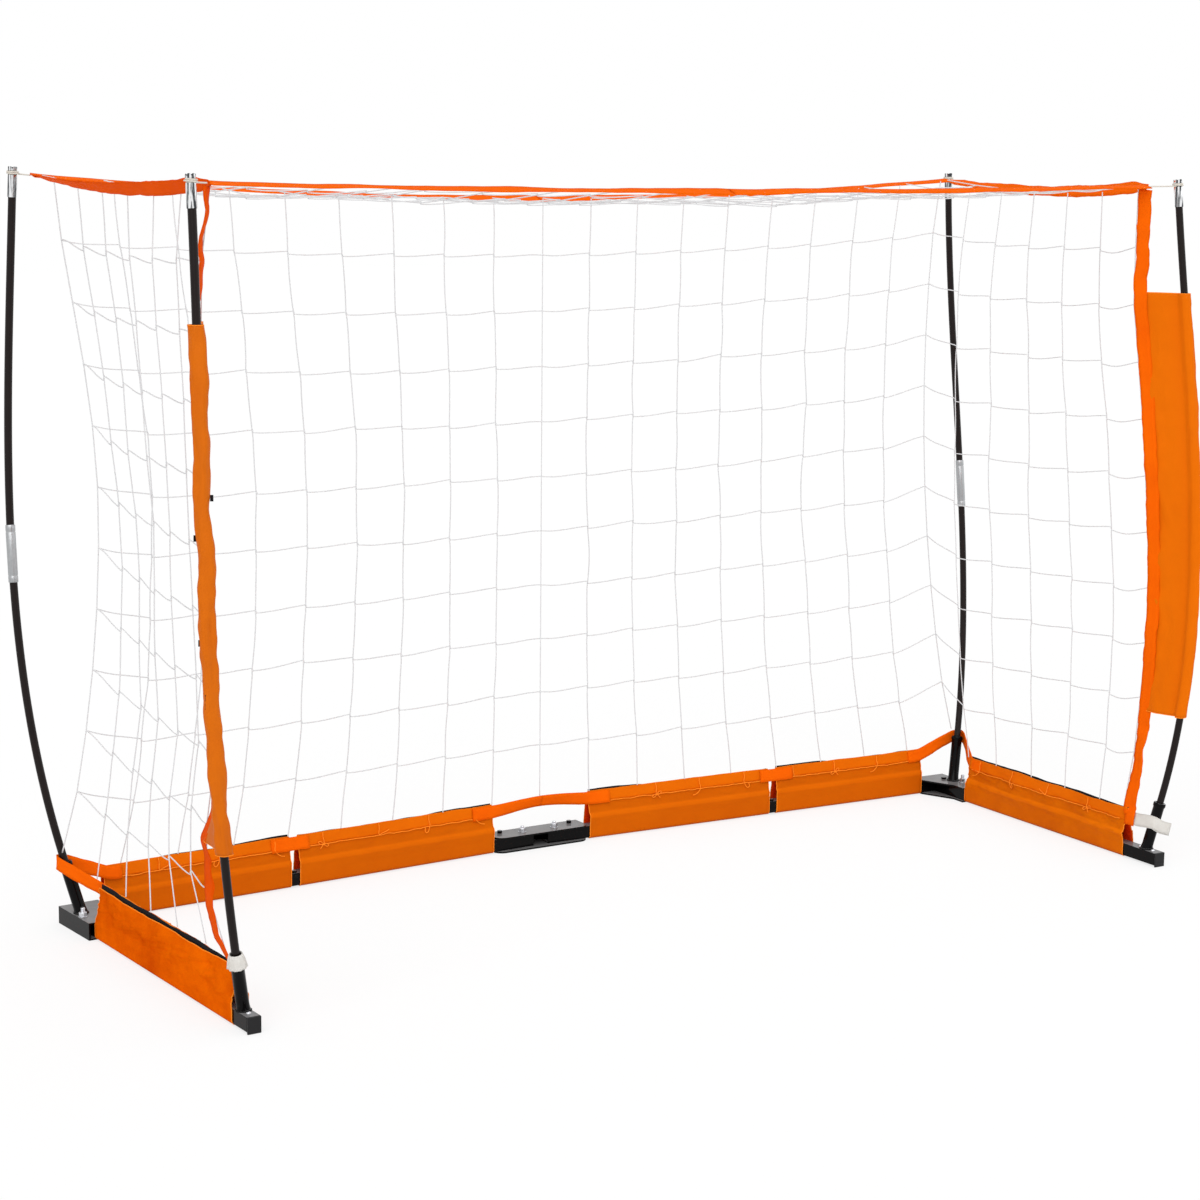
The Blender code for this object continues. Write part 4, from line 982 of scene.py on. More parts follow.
orange = cloth_finish("orange_cloth", (0.640, 0.125, 0.0010), (0.560, 0.098, 0.0008), pale_fold=0.35)
# The side sleeves take copies of the orange cloth painted lighter, the left one much lighter: painted light, standing
# in for the light on them.
SIDE_CLOTH = {
    "left": cloth_finish(
        "orange_cloth_outside", (0.900, 0.155, 0.0010), (0.570, 0.066, 0.0008), gloss=0.0, mottle=0.17
    ),
    "right": cloth_finish(
        "orange_cloth_inside", (0.720, 0.155, 0.0010), (0.560, 0.100, 0.0008), pale_fold=0.35, mottle=0.16
    ),
}
hem_cloth = cloth_finish("orange_hem", (0.800, 0.155, 0.0012), (0.680, 0.118, 0.0010))
lining = cloth_finish("sleeve_lining", (0.95, 0.055, 0.0010), (0.70, 0.025, 0.0008))

hook = Finish("hook_and_loop", Specular_IOR_Level=0.15, Roughness=0.95)
fuzz = hook.grain(1600.0, detail=2.0)
lint = hook.grain(70.0, detail=4.0)
hook.feed(Base_Color=(fuzz * 0.7 + lint * 0.3).mixed((0.003, 0.003, 0.004), (0.016, 0.014, 0.016)))
hook.bump(fuzz, 0.0006)

binding = Finish("bright_thread", Specular_IOR_Level=0.10, Roughness=0.7)
twist = binding.grain(800.0, detail=2.0)
binding.feed(Base_Color=twist.mixed((0.95, 0.220, 0.010), (1.0, 0.310, 0.022)))
binding.bump(twist, 0.0003)


class Sleeve:
    """The skin of one sleeve, for a place along it and a height on its inside (1) or outside (-1)."""

    def __init__(self, start, end, inward, seed, slack):
        self.start = start
        self.forward = (end - start).normalized()
        self.length = (end - start).length
        self.inward = inward
        self.seed = seed
        self.slack = slack

    def middle(self, along, z):
        """Between the two sides: the closed top edge leans a little to and fro."""
        high = max(0.0, (z - BAR_TOP) / (SLEEVE_TOP - BAR_TOP))
        lean = high**2 * 0.0035 * ripple(along * 5.0, 4.0, self.seed + 2.0)
        return self.start + self.forward * along + self.inward * lean + UP * z

    def skin(self, along, side, z, lift=0.0):
        high = max(0.0, min(1.0, (z - BAR_TOP) / (SLEEVE_TOP - BAR_TOP)))
        free = sin(pi * high)
        wave = ripple(along * 9.0, side + z * 14.0, self.seed) * 0.0040
        wave += ripple(along * 30.0, side * 3.0 + z * 60.0, self.seed + 7.0) * 0.0012
        pinch = ripple(along * 14.0 + z * 60.0 * side, z * 25.0, self.seed + 3.0)
        wave += (1.0 - abs(pinch)) ** 6 * 0.0022
        rise = high**3 * 0.0016 * self.slack * ripple(along * 11.0, 0.0, self.seed + 11.0 + side)
        width = stepped(CREASE if side > 0.0 else OUTER_FACE, z) + lift + free * (wave * self.slack + 0.0006)
        return self.middle(along, z) + self.inward * (side * width) + UP * rise

    def hem(self, first, last, z, lift):
        """A line along the inside hem, and the directions up the cloth at its points."""
        stations = spread(first, last, max(3, int(abs(last - first) / HEM_STEP)))
        places = [self.skin(along, 1.0, z, lift) for along in stations]
        above = [self.skin(along, 1.0, z + 0.008, lift) for along in stations]
        below = [self.skin(along, 1.0, z - 0.008, lift) for along in stations]
        return places, [(high - low).normalized() for high, low in zip(above, below)]


def lacing(sleeve, name, body):
    """The cord laced along the foot of the hem, with a stitch and a loose tail at each net knot."""
    lift = HEM_LIFT + SLEEVE_THICK + LACE_OUT
    count = int(sleeve.length / LACE_STEP)
    path = []
    for along in spread(0.012, sleeve.length - 0.012, count):
        path.append(sleeve.skin(along, 1.0, HEM_LOW + 0.0012 * ripple(along * 40.0, 1.0, sleeve.seed), lift))
    rods = [bent_rod(f"{name}_run", path, LACE_OUT, 1)]
    knots = int((sleeve.length - 0.050) / MESH) + 1
    for k in range(knots):
        at = 0.035 + MESH * k + 0.006 * sin(5.0 * k + sleeve.seed)
        turn = 1.0 if (k + int(sleeve.seed)) % 2 else -1.0
        for part, spots in (("stitch", STITCH), ("tail", TAILS[(k + int(sleeve.seed)) % 4])):
            points = [sleeve.skin(at + turn * x, 1.0, HEM_LOW + z, lift + LACE_OUT) for x, z in spots]
            for _ in range(2):
                cut = [points[0]]
                for a, b in zip(points, points[1:]):
                    cut += [a.lerp(b, 0.25), a.lerp(b, 0.75)]
                points = cut + [points[-1]]
            rods.append(bent_rod(f"{name}_{part}_{k}", points, LACE_OUT * 0.9, 1))
    return dress(joined(name, *rods), binding, body, "orange_cloth")


def base_sleeve(name, sleeve, tape_rise, body, node, outer_look):
    """One sleeve with its hem band, rolled edges, lacing and black tape."""
    count = int(sleeve.length / CLOTH_STEP)
    heights = spread(SLEEVE_LOW, SLEEVE_TOP, 30)
    outer_heights = spread(SLEEVE_LOW, SLEEVE_TOP - OUTSIDE_DROP, 30)
    columns = []
    for along in spread(0.0, sleeve.length, count):
        foot = sleeve.middle(along, SLEEVE_FOOT)
        column = [sleeve.skin(along, -1.0, z) for z in reversed(outer_heights)]
        column += [foot + sleeve.inward * (SLEEVE_HALF * 0.74 * k) for k in (-1.0, 0.0, 1.0)]
        columns.append(column + [sleeve.skin(along, 1.0, z) for z in heights])
    edges = [bent_rod(f"{name}_edge_{k}", columns[k], 0.0009, 1) for k in (0, -1)]
    edges += [bent_rod(f"{name}_top_{k}", [column[k] for column in columns], 0.0008, 1) for k in (0, -1)]
    edge = dress(joined(f"{name}_rolled_edges", *edges), binding, body, "orange_cloth")
    width = path_length(columns[0])
    if sleeve.forward.cross(UP).dot(sleeve.inward) < 0.0:
        columns = [column[::-1] for column in columns]
    sheet = cloth_grid(name, columns, width, sleeve.length, SLEEVE_THICK, lined=True)
    dress(sheet, (outer_look, lining), body, "orange_cloth", node)

    heights = spread(HEM_LOW, SLEEVE_TOP + 0.0006, 6)
    band = [
        [sleeve.skin(along, 1.0, z, HEM_LIFT) for z in heights]
        for along in spread(0.001, sleeve.length - 0.001, count)
    ]
    hem = cloth_grid(f"{name}_hem", band, SLEEVE_TOP - HEM_LOW, sleeve.length, SLEEVE_THICK)
    dress(hem, hem_cloth, body, "orange_cloth")

    strip = []
    for along in spread(0.004 * sleeve.length, 0.996 * sleeve.length, count):
        top = SLEEVE_TOP + stepped(tape_rise, along) + 0.0024 * ripple(along * 8.0, 2.0, sleeve.seed + 21.0)
        strip.append([sleeve.middle(along, z) for z in spread(top - TAPE_TALL, top, 3)])
    tape = cloth_grid(f"{name}_tape", strip, TAPE_TALL, sleeve.length, TAPE_THICK)
    dress(tape, hook, body, "orange_cloth")
    lace = lacing(sleeve, f"{name}_lacing", body)
    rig.sheet(sheet, flat=(width, sleeve.length), held="folded", with_pieces=[hem, edge, tape, lace])


SLEEVES = {}
for side, plan in PLANS.items():
    for label, (first, last), seed in (("inner", INNER, 1.3), ("outer", OUTER, 5.9)):
        sleeve = Sleeve(plan.on_half(first), plan.on_half(last), plan.forward, seed + plan.sign, 0.6)
        SLEEVES[label, side] = sleeve
        node = f"back_sleeve_{label}_{side}"
        base_sleeve(f"bar_cloth_{label}_{side}", sleeve, BACK_TAPE, f"half_{side}", node, orange)
    first, last = plan.on_side(SIDE_START), plan.on_side(SIDE_LENGTH - SIDE_SET[side])
    sleeve = Sleeve(first, last, -plan.aside, 11.7 + plan.sign, SIDE_SLACK[side])
    SLEEVES["side", side] = sleeve
    node = f"side_sleeve_{side}"
    base_sleeve(f"bar_cloth_side_{side}", sleeve, SIDE_TAPE, f"side_{side}", node, SIDE_CLOTH[side])


# Webbing: ribbed orange webbing, a bit under 25 mm wide, sewn to the inside of
# the hems at the sleeves' ends. Short lengths bridge the gaps between sleeves,
# one, in two halves, arches over the hinge and one runs round each back pole.
WEB_WIDTH, WEB_THICK = 0.0235, 0.0014
RIB = 0.0016
WEB_MID = SLEEVE_TOP - 0.0120
WEB_LIFT = HEM_LIFT + SLEEVE_THICK + WEB_THICK
TAPER_LONG, STRAP_STEP = 0.060, 0.006
LOOP_ROUND = 0.0160
LOOP_TURNS = (-32.0, -5.0, 22.0, 50.0, 78.0, 108.0)


def webbing_finish(name, colour, deep):
    """Woven tape: ribs across it and a soft change of shade along it."""
    look = Finish(name, Specular_IOR_Level=0.02)
    across, along = look.across_along()
    weave = (along.waves(RIB) * 0.5 + 0.5) * (across.waves(RIB * 1.4) * 0.5 + 0.5)
    shade = look.grain(16.0, detail=4.0)
    tint = (shade * 0.75 + weave * 0.25).over(0.45, 0.30)
    look.feed(Base_Color=tint.mixed(deep, colour), Roughness=shade * 0.15 + 0.60)
    look.bump(weave * 0.6 + shade * 0.5, 0.0004)
    return look


web = webbing_finish("orange_webbing", (0.93, 0.142, 0.0010), (0.84, 0.104, 0.0008))
# The left ring and upright webbing take a darker, redder copy of the same webbing: painted shade.
red_web = webbing_finish("red_orange_webbing", (0.86, 0.100, 0.0010), (0.72, 0.066, 0.0008))
RING_WEB = {"left": red_web, "right": web}


def tangents(points):
    last = len(points) - 1
    return [(points[min(i + 1, last)] - points[max(i - 1, 0)]).normalized() for i in range(last + 1)]


def smoothed(path, times):
    for _ in range(times):
        path = [path[0]] + [(a + b * 2.0 + c) / 4.0 for a, b, c in zip(path, path[1:], path[2:])] + [path[-1]]
    return path


def strap(
    name, path, wide, width, look, body, slot, *nodes, thick=WEB_THICK, edge_wave=0.0, seed=0.0, taper=1.0
):
    """Flat webbing along a path. Wide gives the direction across it at each point, or one for all."""
    count = max(8, int(path_length(path) / STRAP_STEP))
    if isinstance(wide, Vector):
        wide = [wide] * len(path)
    line, widths = resampled(path, wide, count)
    length = path_length(line)
    columns = []
    for i, (point, direction, along) in enumerate(zip(line, widths, tangents(line))):
        direction = (direction - along * direction.dot(along)).normalized()
        distance = length * i / (count - 1)
        column = []
        for k in range(5):
            share = (k / 4.0 - 0.5) * width
            share *= 1.0 + edge_wave * ripple(distance * 28.0, k / 4.0, seed)
            share *= min(1.0, taper + min(distance, length - distance) / TAPER_LONG)
            cup = along.cross(direction) * (0.03 * width * (1.0 - (2.0 * k / 4.0 - 1.0) ** 2))
            column.append(point + direction * share + cup)
        columns.append(column)
    piece = cloth_grid(name, columns, width, length, thick)
    return dress(piece, look, body, slot, *nodes)


for side, plan in PLANS.items():
    inner, outer, along_side = (SLEEVES[label, side] for label in ("inner", "outer", "side"))
    path, wide = inner.hem(inner.length - 0.020, inner.length - 0.001, WEB_MID, WEB_LIFT)
    more, wider = outer.hem(0.001, 0.036, WEB_MID, WEB_LIFT)
    strap(
        f"gap_web_{side}", path + more, wide + wider, WEB_WIDTH, web, f"half_{side}",
        "orange_webbing", edge_wave=0.05, seed=97.0 + plan.sign,
    )

    post = POLES["back", side].curve(0.113)
    path, wide = along_side.hem(0.036, 0.001, WEB_MID, WEB_LIFT)
    for angle in map(radians, LOOP_TURNS):
        path.append(post + swung(plan.across(1.0), NORTH, angle) * LOOP_ROUND)
        wide.append(UP)
    more, wider = outer.hem(outer.length - 0.001, outer.length - 0.030, WEB_MID, WEB_LIFT)
    strap(
        f"post_loop_{side}", smoothed(path + more, 2), wide + wider, 0.0225, web, plan.corner_bend(0.09),
        "orange_webbing", edge_wave=0.10, seed=101.0 + plan.sign,
    )

path, wide = SLEEVES["inner", "left"].hem(0.043, 0.002, WEB_MID, WEB_LIFT)
more, wider = SLEEVES["inner", "right"].hem(0.002, 0.043, WEB_MID, WEB_LIFT)
first, last = path[-1], more[0]
for i in range(1, 20):
    t = i / 20.0
    path.append(first.lerp(last, t) + UP * (0.008 * sin(pi * t) ** 1.4))
    wide.append(swung(UP, -NORTH, radians(24.0 * sin(pi * t))))
path, wide = path + more, wide + wider
middle = len(path) // 2
for side, part in (("left", slice(0, middle + 1)), ("right", slice(middle, None))):
    strap(
        f"hinge_strap_{side}", path[part], wide[part], WEB_WIDTH, web, PLANS[side].middle_bend(0.055),
        "orange_webbing", "base_strap_centre", edge_wave=0.04, seed=111.0,
    )


# Pole sleeves: a flap of orange cloth folded round each front pole and closed
# on itself, reaching in and back under the upright webbing of the net. Bits of
# its black hook tape show at the edge of the left one.
POST_SLEEVE = {"left": (0.270, 1.014), "right": (0.270, 1.022)}
POST_GAPE = {"left": 0.0015, "right": 0.0040}
POST_WAVE = {"left": 0.0042, "right": 0.0014}
POST_ROUND = 0.0100
RING_Z = TOP - 0.013
POST_WEB_TOP = RING_Z - 0.005
NET_FOOT = 0.0905
NET_ROWS = 11
POST_WEB = {
    "left": (
        (0, 0.004, 0.030), (0.35, 0.005, 0.080), (1, 0.008, 0.086), (1.8, 0.008, 0.084), (2.2, 0.020, 0.072),
        (3, 0.028, 0.066), (6, 0.0275, 0.060), (9, 0.029, 0.053), (10, 0.030, 0.046),
        (NET_ROWS, 0.040, 0.037),
    ),
    "right": (
        (0, 0.010, 0.060), (2, 0.018, 0.073), (6, 0.041, 0.063), (9, 0.046, 0.063), (10, 0.046, 0.049),
        (NET_ROWS, 0.042, 0.038),
    ),
}
FLECKS = ((0.777, 1.0), (0.721, -1.0), (0.575, -1.0), (0.500, -0.45), (0.488, -0.5))
# The pole sleeves are copies of the same orange cloth: the left one painted darker than the right as painted shade, the
# right one lighter as painted light.
POST_CLOTH = {
    "left": cloth_finish(
        "orange_pole_cloth_left", (0.680, 0.150, 0.0010), (0.580, 0.112, 0.0008), gloss=0.10
    ),
    "right": cloth_finish(
        "orange_pole_cloth_right", (0.790, 0.156, 0.0010), (0.720, 0.136, 0.0008), gloss=0.03
    ),
}


def row_height(row):
    return NET_FOOT + (POST_WEB_TOP - NET_FOOT) * row / NET_ROWS


def post_web_step(plan, z):
    """Step from the front pole's centre line to its webbing, the way there and the way across it."""
    row = (z - NET_FOOT) / (POST_WEB_TOP - NET_FOOT) * NET_ROWS
    inward, back = (stepped([(step[0], step[k]) for step in POST_WEB[plan.side]], row) for k in (1, 2))
    step = plan.across(-inward, back)
    along = step.normalized()
    return step, along, Vector((-along.y, along.x, 0.0))


def flap_wave(plan, z, share):
    """How far the flap swings sideways, at a share of its reach from the pole."""
    return 0.0060 * share * ripple(z * 7.0, share * 1.5, 31.0 + plan.sign)


for side, plan in PLANS.items():
    pole = POLES["front", side]
    low, high = POST_SLEEVE[side]
    count = 130
    columns = []
    for z in spread(low, high, count):
        step, along, beside = post_web_step(plan, z)
        reach = step.length + 0.0085 + 0.0015 * ripple(z * 16.0, 5.0, 3.0)
        centre = pole.curve(z)
        sides = []
        for face in (-1.0, 1.0):
            spots = []
            for share in spread(0.0, 1.0, 14):
                gape = POST_GAPE[side] * sin(pi * share) * (0.6 + 0.4 * ripple(z * 9.0, face, 2.0))
                swing = flap_wave(plan, z, share) + face * (0.0010 + gape)
                swing += 0.0012 * ripple(z * 30.0, share * 4.0, 40.0 + face) * share
                out = POST_ROUND + (reach - POST_ROUND) * share
                spots.append(centre + along * out + beside * swing)
            sides.append(spots)
        around = []
        for angle in map(radians, spread(-130.0, 130.0, 16)[1:-1]):
            wave = POST_WAVE[side] * (0.35 + ripple(z * 11.0, sin(angle), 17.0))
            radius = POST_ROUND + 0.0010 * ripple(z * 20.0, angle, 12.0) + wave
            around.append(centre + swung(-along, beside, angle) * radius)
        columns.append(sides[0][::-1] + around + sides[1])
    edges = [bent_rod(f"pole_edge_{side}_{k}", columns[k], 0.0008, 1) for k in (0, -1)]
    edge = dress(joined(f"pole_edge_{side}", *edges), binding, f"pole_front_{side}", "orange_cloth")
    width = path_length(columns[count // 2])
    sleeve = cloth_grid(f"pole_cloth_{side}", columns, width, high - low, SLEEVE_THICK, lined=True)
    dress(sleeve, (POST_CLOTH[side], lining), f"pole_front_{side}", "orange_cloth", f"pole_sleeve_{side}")
    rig.sheet(sleeve, flat=(width, high - low), held="folded", with_pieces=[edge])

flecks = []
for z, turn in FLECKS:
    centre = POLES["front", "left"].curve(z)
    facing = (level * turn - Vector((ahead.x, ahead.y, 0.0)) * sqrt(1.0 - turn**2)).normalized()
    spot = centre + facing * (POST_ROUND + 0.0026)
    path = [spot + UP * rise for rise in spread(-0.0045, 0.0045, 8)]
    fleck = strap(
        f"hook_fleck_{z}", path, level, 0.0045, hook, "pole_front_left", "orange_cloth", edge_wave=0.4, seed=z
    )
    flecks.append(fleck)
joined("hook_flecks_left", *flecks)


# Upright webbing: the net's front edges are sewn to it. It runs from the ring,
# along the free edge of the pole sleeve's flap, and hangs in loose waves down
# to the front socket.
for side, plan in PLANS.items():
    pole = POLES["front", side]
    low, high = POST_SLEEVE[side]
    path, wide = [], []
    for row in spread(NET_ROWS, 0.0, 140):
        z = row_height(row)
        step, along, beside = post_web_step(plan, z)
        sewn = max(0.0, min(1.0, (z - low + 0.030) / 0.030, (high + 0.030 - z) / 0.030))
        loose = 1.0 - 0.9 * sewn
        swing = sewn * (flap_wave(plan, z, 0.9) + 0.0040)
        swing += 0.005 * loose * ripple(z * 14.0, 3.0, 51.0 + plan.sign)
        drift = 0.004 * loose * ripple(z * 17.0, 8.0, 57.0 + plan.sign)
        path.append(pole.curve(z) + step + beside * swing + along * drift)
        twist = (0.4 if z > high else 0.8) * loose * ripple(z * 8.0, 6.0, 63.0 + plan.sign)
        wide.append(swung(along, beside, twist))
    if side == "right":
        path += [plan.on_side(0.545, -0.0075, 0.084), plan.on_side(0.545, -0.0100, 0.062)]
        wide += [-plan.ahead] * 2
    strap(
        f"upright_web_{side}", path, wide, WEB_WIDTH, RING_WEB[side], f"side_{side}", "orange_webbing",
        f"post_webbing_{side}", edge_wave=0.14, seed=71.0 + plan.sign,
    )


# Ring: four lengths of the same webbing round the top, the left one painted
# darker and redder as painted shade, tied to the caps at the corners and sagging
# between them under the weight of the net. The front and back lengths are in two halves here.
FRONT_SAG, BACK_SAG, SIDE_SAG = 0.010, 0.035, 0.014
RING = {}
for side, plan in PLANS.items():
    for place, inward, back in (("front", 0.042, 0.030), ("back", 0.022, -0.027)):
        tip = POLES[place, side].curve(TOP)
        RING[place, side] = Vector((tip.x, tip.y, RING_Z)) + plan.across(-inward, back)


def sagged(start, end, depth, t):
    return start.lerp(end, t) - UP * (4.0 * depth * t * (1.0 - t))


for side, plan in PLANS.items():
    front, back = RING["front", side], RING["back", side]
    path, wide = [], []
    for t in spread(0.0, 1.0, 60):
        path.append(sagged(front, back, SIDE_SAG, t) + UP * (0.0015 * ripple(t * 6.0, 1.0, 83.0)))
        tilt = radians(62.0 - 50.0 * t**2 + 14.0 * ripple(t * 5.0, 2.0, 85.0 + plan.sign))
        wide.append(swung(plan.across(1.0), UP, tilt))
    strap(
        f"ring_{side}", path, wide, WEB_WIDTH, RING_WEB[side], plan.corner_bend(), "orange_webbing",
        f"top_strap_{side}", edge_wave=0.10, seed=81.0 + plan.sign, taper=0.4,
    )
for place, sag in (("front", FRONT_SAG), ("back", BACK_SAG)):
    near, far = RING[place, "left"], RING[place, "right"]
    for side, plan in PLANS.items():
        path, wide = [], []
        for t in spread(0.5, 0.5 + plan.sign / 2.0, 40):
            path.append(sagged(near, far, sag, t) + UP * (0.0015 * ripple(t * 9.0, 3.0, 87.0 + sag)))
            tilt = radians(14.0 + 12.0 * ripple(t * 5.0, 0.0, 91.0 + sag))
            wide.append(swung(NORTH, UP, tilt))
        piece = strap(
            f"ring_{place}_{side}", path, wide, WEB_WIDTH, web,
            plan.middle_bend() if place == "back" else "centre_hinge", "orange_webbing",
            f"top_strap_{place}", edge_wave=0.08, seed=93.0 + sag,
        )
        if place == "front":
            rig.squash(piece, f"fold_{side}", axis=(1.0, 0.0, 0.0), anchor=(0.0, 0.0, 0.0), keep=0.10)


# Elastic: a smooth white skirt spread over the left front socket's rim, and on
# the right a band that is stretched from the sleeve round the socket to a flat
# sewn end.
SKIRT_STEPS, SKIRT_LOW, SKIRT_TALL = 96, 0.072, 0.0215
SKIRT_OUT, SKIRT_FLARE = 0.0090, 0.0052
BAND_ROUND = 0.0122
BAND_TURNS = (205.0, 251.0, 297.0)

elastic = Finish("white_elastic", Specular_IOR_Level=0.2, Roughness=0.8)
ribs = elastic.across_along()[0].waves(0.0016) * 0.5 + 0.5
soil = elastic.grain(60.0, detail=5.0)
elastic.feed(Base_Color=(soil * 0.7 + ribs * 0.3).mixed((0.60, 0.57, 0.52), (0.88, 0.86, 0.82)))
elastic.bump(ribs, 0.0004)

foot, axis = FEET["front", "left"], AXES["front", "left"]
first = axis.cross(UP.cross(axis)).normalized()
second = axis.cross(first)
columns = []
for i in range(SKIRT_STEPS + 1):
    angle = 2.0 * pi * (i % SKIRT_STEPS) / SKIRT_STEPS
    pleat = 0.0006 * cos(11.0 * angle)
    pleat += 0.0010 * noise.noise((cos(angle) * 2.0, sin(angle) * 2.0, 1.0))
    direction = swung(first, second, angle)
    column = []
    for share in spread(0.0, 1.0, 10):
        flare = (1.0 - share) ** 0.6
        radius = SKIRT_OUT + SKIRT_FLARE * flare + pleat * (0.25 + 0.75 * flare)
        ragged = 0.0015 * (1.0 - share) * noise.noise((angle, 7.0, 2.0)) * sin(angle / 2.0)
        column.append(foot + axis * (SKIRT_LOW + SKIRT_TALL * share + ragged) + direction * radius)
    columns.append(column)
skirt = cloth_grid("elastic_skirt_left", columns, 0.028, 0.075, 0.0012)
dress(skirt, elastic, "side_left", "white_elastic", "elastic_band_left")

plan = PLANS["right"]
middle = FEET["front", "right"] + AXES["front", "right"] * 0.049
path = [plan.on_side(0.552, -0.005, 0.0745), plan.on_side(0.566, -0.006, 0.0740)]
for degrees in spread(BAND_TURNS[0], BAND_TURNS[2], 4):
    drop = 0.0060 * (degrees - BAND_TURNS[1]) / (BAND_TURNS[2] - BAND_TURNS[1])
    path.append(middle + swung(EAST, NORTH, radians(degrees)) * BAND_ROUND - UP * drop)
tag = level * 0.94 - Vector((ahead.x, ahead.y, 0.0)) * 0.2 - UP * 0.20
path += [path[-1] + tag * 0.008, path[-1] + tag * 0.018]
wide = (AXES["front", "right"] + level * 0.12).normalized()
strap(
    "elastic_band_front", smoothed(path, 1), wide, 0.0235, elastic, "side_right", "white_elastic",
    "elastic_band_right", thick=0.0013, edge_wave=0.06, seed=121.0,
)


# Tie cords: pale elastic cord wound in two layers round each cap's neck, then
# drawn tight to the ring's corner.
TIE_THICK = 0.0024
TIE_TURNS, TIE_BACK = 3.75, 1.975
pale = Finish("pale_elastic_cord", Specular_IOR_Level=0.2, Roughness=0.75)
braid = pale.grain(700.0, detail=2.0)
pale.feed(Base_Color=braid.mixed((0.52, 0.47, 0.40), (0.84, 0.80, 0.73)))
pale.bump(braid, 0.0005)

for (place, side), pole in POLES.items():
    plan = PLANS[side]
    neck = pole.on_cap(CAP_BODY + CAP_NECK / 2.0)
    corner = RING[place, side] + plan.across(0.0040, 0.0)
    away = Vector((corner.x - neck.x, corner.y - neck.y, 0.0)).normalized()
    beside = Vector((-away.y, away.x, 0.0))
    tight = CAP_NECK_OUT + TIE_THICK / 2.0 + 0.0002
    path = []
    for turn in spread(0.0, TIE_TURNS, 90):
        angle = 2.0 * pi * (turn - TIE_TURNS) + radians(70.0)
        grown = max(0.0, min(1.0, (turn - TIE_BACK) / 0.25 + 0.5))
        climb = (turn if turn < TIE_BACK else 2.0 * TIE_BACK - turn) - 0.99
        radius = tight + TIE_THICK * 1.04 * grown
        path.append(neck + swung(away, beside, angle) * radius + pole.cap_axis * (climb * TIE_THICK * 1.05))
    count = max(6, int((corner - path[-1]).length / 0.0015))
    path += [path[-1].lerp(corner, t) for t in spread(0.0, 1.0, count)[1:]]
    path = smoothed(path, 2)
    name = f"corner_cord_{place}_{side}"
    cord = bent_rod(name, path, TIE_THICK / 2.0, 2)
    dress(cord, pale, f"pole_top_{place}_{side}", "white_elastic", f"tie_cord_{place}_{side}")
    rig.cord(
        cord, exit=path[0], length=path_length(path), diameter=TIE_THICK, far_end="object",
        stiffness="limp", lay="taut", path=path,
    )


# Net: knotted 2 mm white cord in a 100 mm square mesh, hung from the ring and
# laced to the hems and the upright webbing. The level strands step up or down
# a few millimetres at every upright one that they are knotted to. The back
# corners are drawn in, and the roof and back are in two halves here.
CORD_OUT, CORD_STEPS = 0.0010, 10
BACK_COLUMNS, SIDE_COLUMNS, ROOF_ROWS = 9, 6, 6
CORNER_DRAW = (0.064, 0.011)
CORNER_POWER = {"left": 1.4, "right": 0.75}
CORNER_FEET = {"left": (0.002, -0.008), "right": (-0.018, 0.0)}
SIDE_STEP = {"left": 0.0075, "right": -0.0055}
SIDE_FEET = {
    "left": (0.054, 0.1665, 0.2595, 0.3555, 0.4545),
    "right": (0.0795, 0.1635, 0.267, 0.363, 0.459),
}

net_look = Finish("net_cord", Specular_IOR_Level=0.15, Roughness=0.85)
lay = net_look.grain(500.0, detail=2.0)
grime = net_look.grain(12.0, detail=4.0)
net_look.feed(Base_Color=(lay * 0.5 + grime * 0.5).mixed((0.60, 0.60, 0.61), (0.78, 0.78, 0.79)))
net_look.bump(lay, 0.0004)


def coons(bottom, top, first, last):
    """Surface between four edge curves that share their corners."""
    def surface(a, b):
        corners = (
            bottom(0.0) * (1.0 - a) * (1.0 - b) + bottom(1.0) * a * (1.0 - b)
            + top(0.0) * (1.0 - a) * b + top(1.0) * a * b
        )
        return bottom(a) * (1.0 - b) + top(a) * b + first(b) * (1.0 - a) + last(b) * a - corners
    return surface


